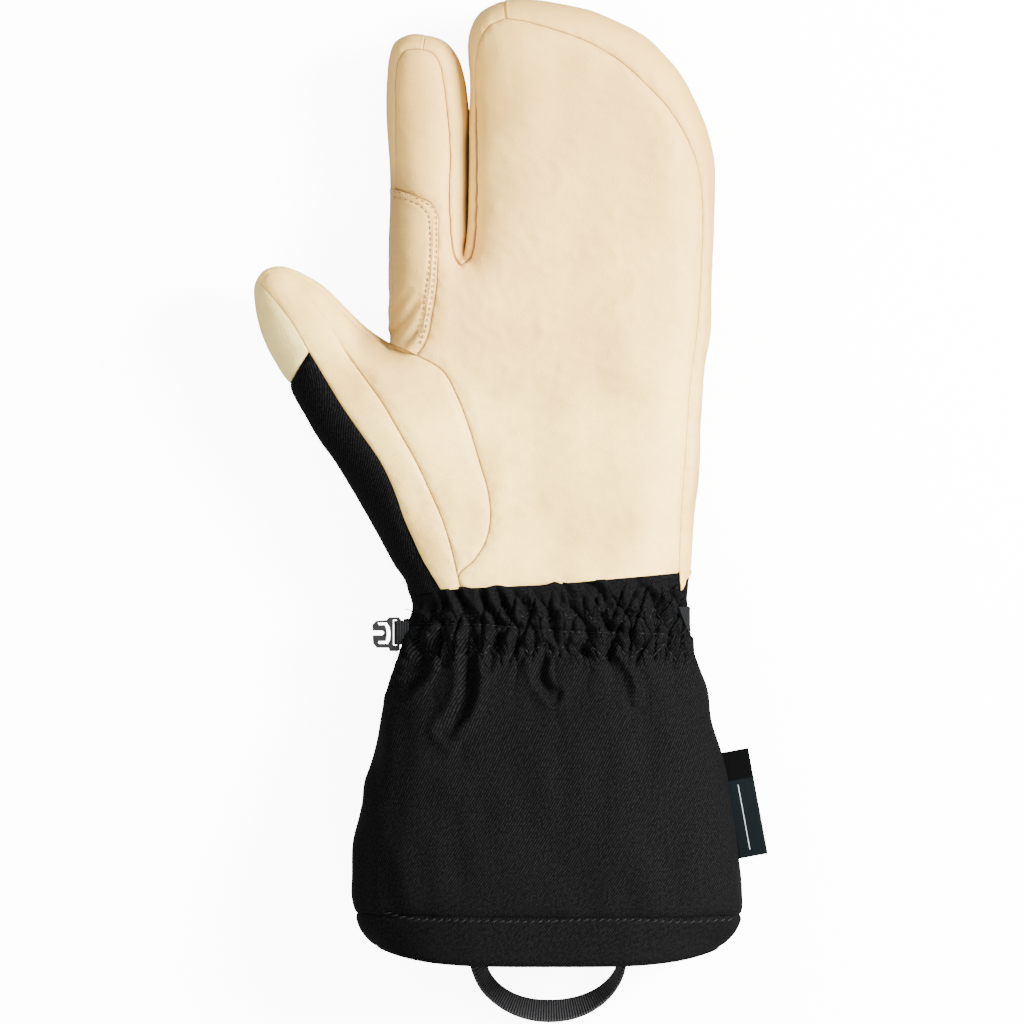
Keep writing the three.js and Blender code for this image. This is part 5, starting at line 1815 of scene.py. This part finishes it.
    def hem(self, cloth: Material) -> Object:
        """The stitched hem at the open end, which dips in the middle of each face.

        Args:
            cloth: the twill.

        Returns:
            The object.
        """
        half = CUFF_WIDTH / 2
        rows = []
        for share in np.linspace(0, 1, 11):
            left, right = (mix(top, HEM_SIDE, share) for top in HEM_TOP)
            drop = (1 - HEM_SIDE) * CUFF_LENGTH * share

            def bend(xy: Array, drop: float = drop) -> Array:
                """Lowers the row in the middle."""
                sink = 0.9 * drop * np.maximum(1 - (xy[:, 0] / half / 0.9) ** 4, 0)
                return np.stack([xy[:, 0], xy[:, 1] - sink], -1)

            rows.append(self.ring(left, right, bend))
        base = np.stack(rows)
        round_it = np.linspace(0, base.shape[1] - 1, 261)
        grid = resample_round(resample(base, crowded(26, 0.7, len(base) - 1)), round_it)
        side = np.where(grid[0, :, 2] > self.upper, 1, -1)
        shape = Surface("hem").add(grid, side, lengths(grid))
        shape.weld()
        away = distance_to(shape.points, base[0])
        edge = distance_to(shape.points, base[-1])
        move = 0.25 - seam_groove(away, 1.0, 1.2) - 0.9 * bell(edge / 1.1)
        move += 0.12 * noise(shape.points * np.array([1, 0.2, 1]), 16, 21)
        moved = shape.points + shape.normals * move[:, None]
        item = shape.build(moved, HEM_WALL, cloth, {"seam": away})
        return settle(item, ("hem_band",))


@dataclass(frozen=True)
class Stitches:
    """A row of sewn stitches along a line on the front.

    Attributes:
        name: the piece's name.
        line: the row in millimetres from the wrist's middle.
        length: one stitch.
        gap: between two.
        radius: half the thread's thickness.
        slant: how far a stitch's end lies to the side of the row.
    """

    name: str
    line: Array
    length: float
    gap: float
    radius: float
    slant: float = 0.0

    def ends(self) -> tuple[Array, Array]:
        """Where each stitch starts and ends, as places."""
        reach = reaches(self.line)
        start = np.arange(0, reach[-1] - self.length, self.length + self.gap)
        found = []
        for at in (start, start + self.length):
            found.append(np.stack([np.interp(at, reach, self.line[:, n]) for n in range(2)], -1))
        way = unit(found[1] - found[0])
        side = np.stack([-way[:, 1], way[:, 0]], -1) * self.slant / 2
        return found[0] - side, found[1] + side

    def build(
        self,
        on_cloth: Callable[[Array], tuple[Array, Array]],
        thread: Material,
        parent: Object | None = None,
    ) -> Object:
        """Lays each stitch as a small rounded strand that dips into the cloth at its ends.

        Args:
            on_cloth: gives points and directions of the cloth's face for places.
            thread: the finish.
            parent: the piece that it is sewn to.

        Returns:
            The stitches as one object.
        """
        start, end = self.ends()
        a, up_a = on_cloth(start)
        b, up_b = on_cloth(end)
        up = unit(up_a + up_b)
        way = unit(b - a)
        side = np.cross(way, up)
        along = np.array([0, 0.16, 0.5, 0.84, 1.0])
        lift = np.array([-0.9, 0.45, 0.85, 0.45, -0.9]) * self.radius
        wide = np.array([0.5, 0.95, 1.1, 0.95, 0.5]) * self.radius
        turn = np.arange(7) / 7 * 2 * np.pi
        middle = mix(a[:, None], b[:, None], along[None, :, None])
        middle = middle + up[:, None] * lift[None, :, None]
        ring = side[:, None, None] * np.cos(turn)[:, None] + up[:, None, None] * np.sin(turn)[:, None]
        points = middle[:, :, None] + ring * wide[None, :, None, None]
        count, stations, around = points.shape[:3]
        ids = np.arange(points.size // 3).reshape(count, stations, around)
        after = np.roll(ids, -1, axis=2)
        p, q, r, t = ids[:, :-1], after[:, :-1], after[:, 1:], ids[:, 1:]
        faces = [np.stack([p, r, q], -1), np.stack([p, t, r], -1)]
        caps = [
            np.stack([np.broadcast_to(e[:, :1], (count, around - 2)), e[:, 1:-1], e[:, 2:]], -1)
            for e in (ids[:, 0], ids[:, -1][:, ::-1])
        ]
        faces = np.concatenate([f.reshape(-1, 3) for f in faces + caps])
        flat = points.reshape(-1, 3)
        faces = outward(flat - flat.mean(0), faces)
        item = make_object(self.name, flat, faces, thread, sharp=80)
        if parent is not None:
            item.parent = parent
        log.info("%s: %d stitches", item.name, count)
        return item


@dataclass(frozen=True)
class Ribbon:
    """Flat webbing along a path, thicker at its two selvedges and closed at its ends.

    Attributes:
        name: the piece's name.
        width: its width in millimetres.
        thickness: its thickness.
        selvedge: how much thicker its edges are, as a share.
        slant: how far its first end is cut at a slant, to each side.
    """

    name: str
    width: float
    thickness: float
    selvedge: float = 0.3
    slant: float = 0.0

    def build(
        self,
        middles: Array,
        out: Array,
        material: Material,
        nodes: tuple[str, ...],
        slot: str,
        fine: int = 8,
    ) -> Object:
        """Sweeps its section, an ellipse of high power with thick ends, along the path.

        Args:
            middles: points of its middle.
            out: direction out of its face at each of them.
            material: its finish.
            nodes: the solids that it stands for.
            slot: the name of its material slot; not used.
            fine: steps between two points.

        Returns:
            The object.
        """
        at = np.linspace(0, len(middles) - 1, (len(middles) - 1) * fine + 1)
        middle = resample(middles, at)
        way = unit(np.gradient(middle, axis=0))
        across = unit(np.cross(resample(out, at), way))
        out = np.cross(way, across)
        turn = np.arange(33) / 32 * 2 * np.pi
        u = np.sign(np.cos(turn)) * np.abs(np.cos(turn)) ** 0.35
        v = np.sign(np.sin(turn)) * np.abs(np.sin(turn)) ** 0.45
        v = v * (1 + self.selvedge * bell((np.abs(u) - 0.88) / 0.1))
        reach = reaches(middle)
        shear = -self.slant * (1 - ease(reach / (2.5 * self.slant + 0.1)))
        ring = middle[:, None] + across[:, None] * (u * self.width / 2)[None, :, None]
        ring = ring + out[:, None] * (v * self.thickness / 2)[None, :, None]
        ring = ring + way[:, None] * (shear[:, None] * u[None])[..., None]
        ring[:, -1] = ring[:, 0]
        ends = [np.repeat(ring[n].mean(0)[None, None], len(turn), axis=1) for n in (0, -1)]
        grid = np.concatenate([ends[0], ring, ends[1]])
        along = np.concatenate([[0], reach, reach[-1:]])
        laid = np.stack(np.broadcast_arrays((u * self.width / 2)[None], along[:, None]), -1)
        shape = Surface(self.name).add(grid, 1, laid)
        shape.weld(closed=True)
        item = make_object(self.name, shape.points, shape.faces, material, shape.corners, sharp=50)
        return settle(item, nodes)


# The hem loop: share of its span from the left, share of its drop below the hem, its turn up
LOOP_ROWS = [
    [0, -0.95, 6],
    [0, -0.6, 14],
    [0.005, -0.25, 40],
    [0.02, 0.08, 57],
    [0.07, 0.36, 57],
    [0.16, 0.58, 54],
    [0.28, 0.74, 49],
    [0.42, 0.82, 44],
    [0.57, 0.82, 44],
    [0.7, 0.75, 49],
    [0.81, 0.62, 57],
    [0.9, 0.44, 66],
    [0.96, 0.22, 74],
    [0.99, -0.04, 76],
    [1, -0.35, 60],
    [1, -0.65, 22],
    [1, -0.95, 6],
]
LOOP_LEFT = -25.5
LOOP_SPAN = 52.0
LOOP_DROP = 21.2
LOOP_WIDTH = 10.0
LOOP_THICKNESS = 1.2
CLIP_DOWN = 0.0934
CLIP_UP = 29.0
CLIP_REACH = 11.1
CLIP_LENGTH = 10.0
CLIP_HEIGHT = 11.9
TAB_AT = 0.785
LABEL_DOWN = 0.42
LABEL_LENGTH = 37.0
LABEL_WIDTH = 10.4


@dataclass
class Trimmings:
    """Hem loop, wrist strap, clip with its webbing, side tag and the leather strip's tail.

    Attributes:
        skin: the mitt's outer skin.
        gauntlet: what most of them are sewn to.
    """

    skin: Skin
    gauntlet: Gauntlet

    def build(self, materials: dict[str, Material]) -> None:
        """Builds them all, each of its own material."""
        self.loop(materials["webbing"])
        self.strap(materials["strap"])
        self.clip(materials["clip"], materials["strap"])
        self.tag(materials["tag"])
        self.tail(materials["tan"])

    def loop(self, webbing: Material) -> None:
        """The hem loop hangs past the hem's edge, standing on its side on the surface."""
        across, below, turn = np.array(LOOP_ROWS).T
        tilt = np.radians(turn)
        rest = LOOP_WIDTH / 2 * np.sin(tilt) + LOOP_THICKNESS / 2 * np.cos(tilt) + 0.05
        z = rest + (HEM_WALL + 0.3) * ease(1 - (below - 0.1) / 0.4)
        x = LOOP_LEFT + across * LOOP_SPAN
        middles = np.stack([x, -CUFF_LENGTH - below * LOOP_DROP, z], -1)
        way = unit(np.gradient(middles, axis=0))
        level = unit(np.stack([way[:, 1], -way[:, 0], 0 * tilt], -1))
        lean = level * np.cos(tilt)[:, None] + UP * np.sin(tilt)[:, None]
        out = unit(np.cross(way, lean))
        ribbon = Ribbon("hem_webbing", LOOP_WIDTH, LOOP_THICKNESS)
        ribbon.build(middles, out, webbing, ("hem_loop",), "webbing")

    def strap(self, webbing: Material) -> None:
        """The strap crosses the back of the wrist; its slanted end comes round to the front."""
        row = self.gauntlet.ring(0.087, 0.052, base=240)
        normals = self.ring_normals(row)
        half = int(row[:, 0].argmax())
        step = np.linalg.norm(row[1] - row[0])
        shown = np.flatnonzero(row[: half + 1, 0] > row[half, 0] - 3.2)[0]
        first = shown - int(0.2 / step)
        picked = np.arange(first, len(row) - 2, 4)
        ahead = (half - picked) * step
        proud = 0.35 + 0.75 * ease(ahead / 3) - 1.2 * bell(ahead / 4)
        middles = row[picked] + normals[picked] * proud[:, None]
        middles[:, 2] = np.maximum(middles[:, 2], 0.62)
        ribbon = Ribbon("strap_webbing", 9.0, 1.2, 0.3, 3.0)
        ribbon.build(middles, normals[picked], webbing, ("wrist_strap",), "webbing", 3)

    def ring_normals(self, row: Array) -> Array:
        """Directions out of a closed row, square to it and to the cuff's length."""
        way = unit(np.roll(row[:-1], -1, axis=0) - np.roll(row[:-1], 1, axis=0))
        out = unit(np.cross(way, np.array([0, -1.0, 0])))
        out = out * np.sign((out * (row[:-1] - row[:-1].mean(0))).sum(-1).sum())
        return np.vstack([out, out[:1]])

    def clip(self, plastic: Material, webbing: Material) -> None:
        """The moulded clip with rounded edges, and the webbing that holds it.

        Args:
            plastic: the clip's.
            webbing: the fold's.
        """
        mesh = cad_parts["wrist_clip"].data.copy()
        shape = bmesh.new()
        shape.from_mesh(mesh)
        bmesh.ops.remove_doubles(shape, verts=shape.verts, dist=1e-6)
        bmesh.ops.dissolve_limit(
            shape, angle_limit=math.radians(1), verts=shape.verts, edges=shape.edges
        )
        shape.to_mesh(mesh)
        shape.free()
        mesh.materials.clear()
        mesh.materials.append(plastic)
        item = link(bpy.data.objects.new("clip", mesh))
        bevel = item.modifiers.new("edges", "BEVEL")
        bevel.width = 0.00034
        bevel.segments = 2
        bevel.limit_method = "ANGLE"
        settle(item, ("wrist_clip",))
        level = -CLIP_DOWN * CUFF_LENGTH
        middle = np.array([self.skin.rim(-1, level), level, CLIP_UP])
        slot = middle[0] - CLIP_REACH + TAB_AT * CLIP_LENGTH
        low, high = -0.304 * CLIP_HEIGHT, 0.399 * CLIP_HEIGHT
        rise = 2.15
        end = middle[0] + 1.6
        y = middle[1] + (low + high) / 2
        path = [(end, rise), (slot + 0.9, rise), (slot, rise - 0.8), (slot, 0.8 - rise)]
        path += [(slot + 0.9, -rise), (end, -rise)]
        out = [(0, 1), (-0.4, 1), (-1, 0.4), (-1, -0.4), (-0.4, -1), (0, -1)]
        middles = np.array([(x, y, middle[2] + z) for x, z in path])
        outs = unit(np.array([(x, 0, z) for x, z in out], float))
        ribbon = Ribbon("clip_webbing", high - low, 0.7)
        ribbon.build(middles, outs, webbing, ("clip_tab",), "webbing", 5)

    def tag(self, cloth: Material) -> None:
        """The folded tag stands out of the cuff's right side, a little curled."""
        t = np.linspace(0, 1, 9)
        down = LABEL_DOWN + t * LABEL_LENGTH / CUFF_LENGTH
        y = -down * CUFF_LENGTH
        inner = np.stack([self.skin.rim(1, y) - 1.1, y], -1)
        way = unit(inner[-1] - inner[0])
        out = np.array([-way[1], way[0]])
        xy = straight(inner[0], inner[-1], 8) + out * LABEL_WIDTH / 2
        z = 27 + 0.35 * np.sin(t * 5)
        middles = np.concatenate([xy, z[:, None]], -1)
        up = unit(np.stack([0.05 * np.sin(t * 4), 0 * t, 1 + 0 * t], -1))
        ribbon = Ribbon("tag", LABEL_WIDTH, 0.9, 0.1)
        ribbon.build(middles, up, cloth, ("side_label",), "label_fabric")

    def tail(self, tan: Material) -> None:
        """The outer leather strip's end narrows to a point over the black cloth."""
        left, right, tip = np.array(seen((678.5, 571), (690.5, 571), (677.3, 590)))
        rows, columns = 15, 9
        down = np.linspace(0, 1, rows)[:, None, None] ** 0.9
        across = np.linspace(0, 1, columns)[None, :, None]
        xy = mix(mix(left, right, across), tip + across * 0.3, down)
        points, normals = self.gauntlet.on_front(xy.reshape(-1, 2))
        shape = Surface("strip_tail")
        shape.add((points + normals * 0.95).reshape(rows, columns, 3), 1)
        shape.weld()
        away = np.full(len(shape.points), 3.0)
        settle(shape.build(shape.points, TAIL_WALL, tan, {"seam": away}), ())


@dataclass
class Studio:
    """Camera, lights and floor, in metres.

    Attributes:
        centre: the place that the camera looks at.
        across: the width that it shows.
        distance: its height above the mitt's middle.
        reach: half the floor's side.
        below: how far the floor lies under the mitt.
    """

    centre: tuple[float, float] = (0.00014, -0.00005)
    across: float = 0.3584
    distance: float = 3.0
    reach: float = 4.0
    below: float = 0.0004

    def camera(self) -> None:
        """A long lens straight above, the fingertips up."""
        data = bpy.data.cameras.new("camera")
        data.sensor_width = 36
        data.lens = data.sensor_width * self.distance / self.across
        data.clip_end = 20
        item = link(bpy.data.objects.new("camera", data))
        item.location = (*self.centre, self.distance + 0.024)
        bpy.context.scene.camera = item

    def lamp(
        self, name: str, spot: tuple[float, float, float], size: float, power: float
    ) -> None:
        """A square soft light that looks at the middle of the mitt.

        Args:
            name: its name.
            spot: where it hangs.
            size: its side.
            power: its power in watts.
        """
        data = bpy.data.lights.new(name, "AREA")
        data.size = size
        data.energy = power
        item = link(bpy.data.objects.new(name, data))
        item.location = spot
        x, y, z = spot
        item.rotation_euler = (math.atan2(math.hypot(x, y), z), 0, math.atan2(x, -y))

    def build(self) -> None:
        """Lights the floor and the mitt."""
        self.lamp("key", (1.2, 0.35, 1.0), 0.6, 165)
        self.lamp("fill", (-0.9, 0.6, 1.4), 1.4, 22)
        self.lamp("low", (0.2, -1.3, 0.9), 1.0, 18)
        world = bpy.data.worlds.new("room")
        world.use_nodes = True
        sky = world.node_tree.nodes["Background"]
        sky.inputs["Color"].default_value = (1, 1, 1, 1)
        sky.inputs["Strength"].default_value = 1.05
        bpy.context.scene.world = world
        tree = Tree("floor")
        tone = tree.blend(tree.noise(3), colour(0xFFFFFF), colour(0xFBFBFB))
        tree.shader.inputs["Roughness"].default_value = 0.9
        tree.shader.inputs["Emission Color"].default_value = (1, 1, 1, 1)
        tree.shader.inputs["Emission Strength"].default_value = 9.0
        mesh = bpy.data.meshes.new("floor")
        corners = ((-1, -1), (1, -1), (1, 1), (-1, 1))
        places = [(x * self.reach, y * self.reach, -self.below) for x, y in corners]
        mesh.from_pydata(places, [], [(0, 1, 2, 3)])
        mesh.materials.append(tree.finish(Base_Color=tone))
        floor = link(bpy.data.objects.new("floor", mesh))
        floor.visible_diffuse = False
        floor.visible_glossy = False


def main() -> None:
    """Builds the mitt and its studio."""
    logging.basicConfig(level=logging.INFO, format="%(name)s %(message)s")
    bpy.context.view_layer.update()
    studio = Studio()
    studio.camera()
    skin = Skin()
    seams = Seams(skin)
    panels = Panels(skin)
    materials = {
        "tan": LEATHER_TAN.build(),
        "cap": LEATHER_CAP.build(),
        "cloth": TWILL.build(),
        "webbing": WEBBING.build(),
        "strap": STRAP.build(),
        "clip": CLIP.build(),
        "thread": BLACK_THREAD.build(),
        "tan_thread": TAN_THREAD.build(),
        "tag": TAG.build(),
    }
    Hand(skin, seams, panels).build(materials["tan"], materials["cloth"], materials["tan_thread"])
    ThumbShape(skin, seams, panels).build(materials["tan"], materials["cap"], materials["cloth"])
    gauntlet = Gauntlet(skin)
    gauntlet.build(materials["cloth"], materials["thread"])
    Trimmings(skin, gauntlet).build(materials)
    studio.build()
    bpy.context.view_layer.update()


if __name__ == "__main__":
    main()
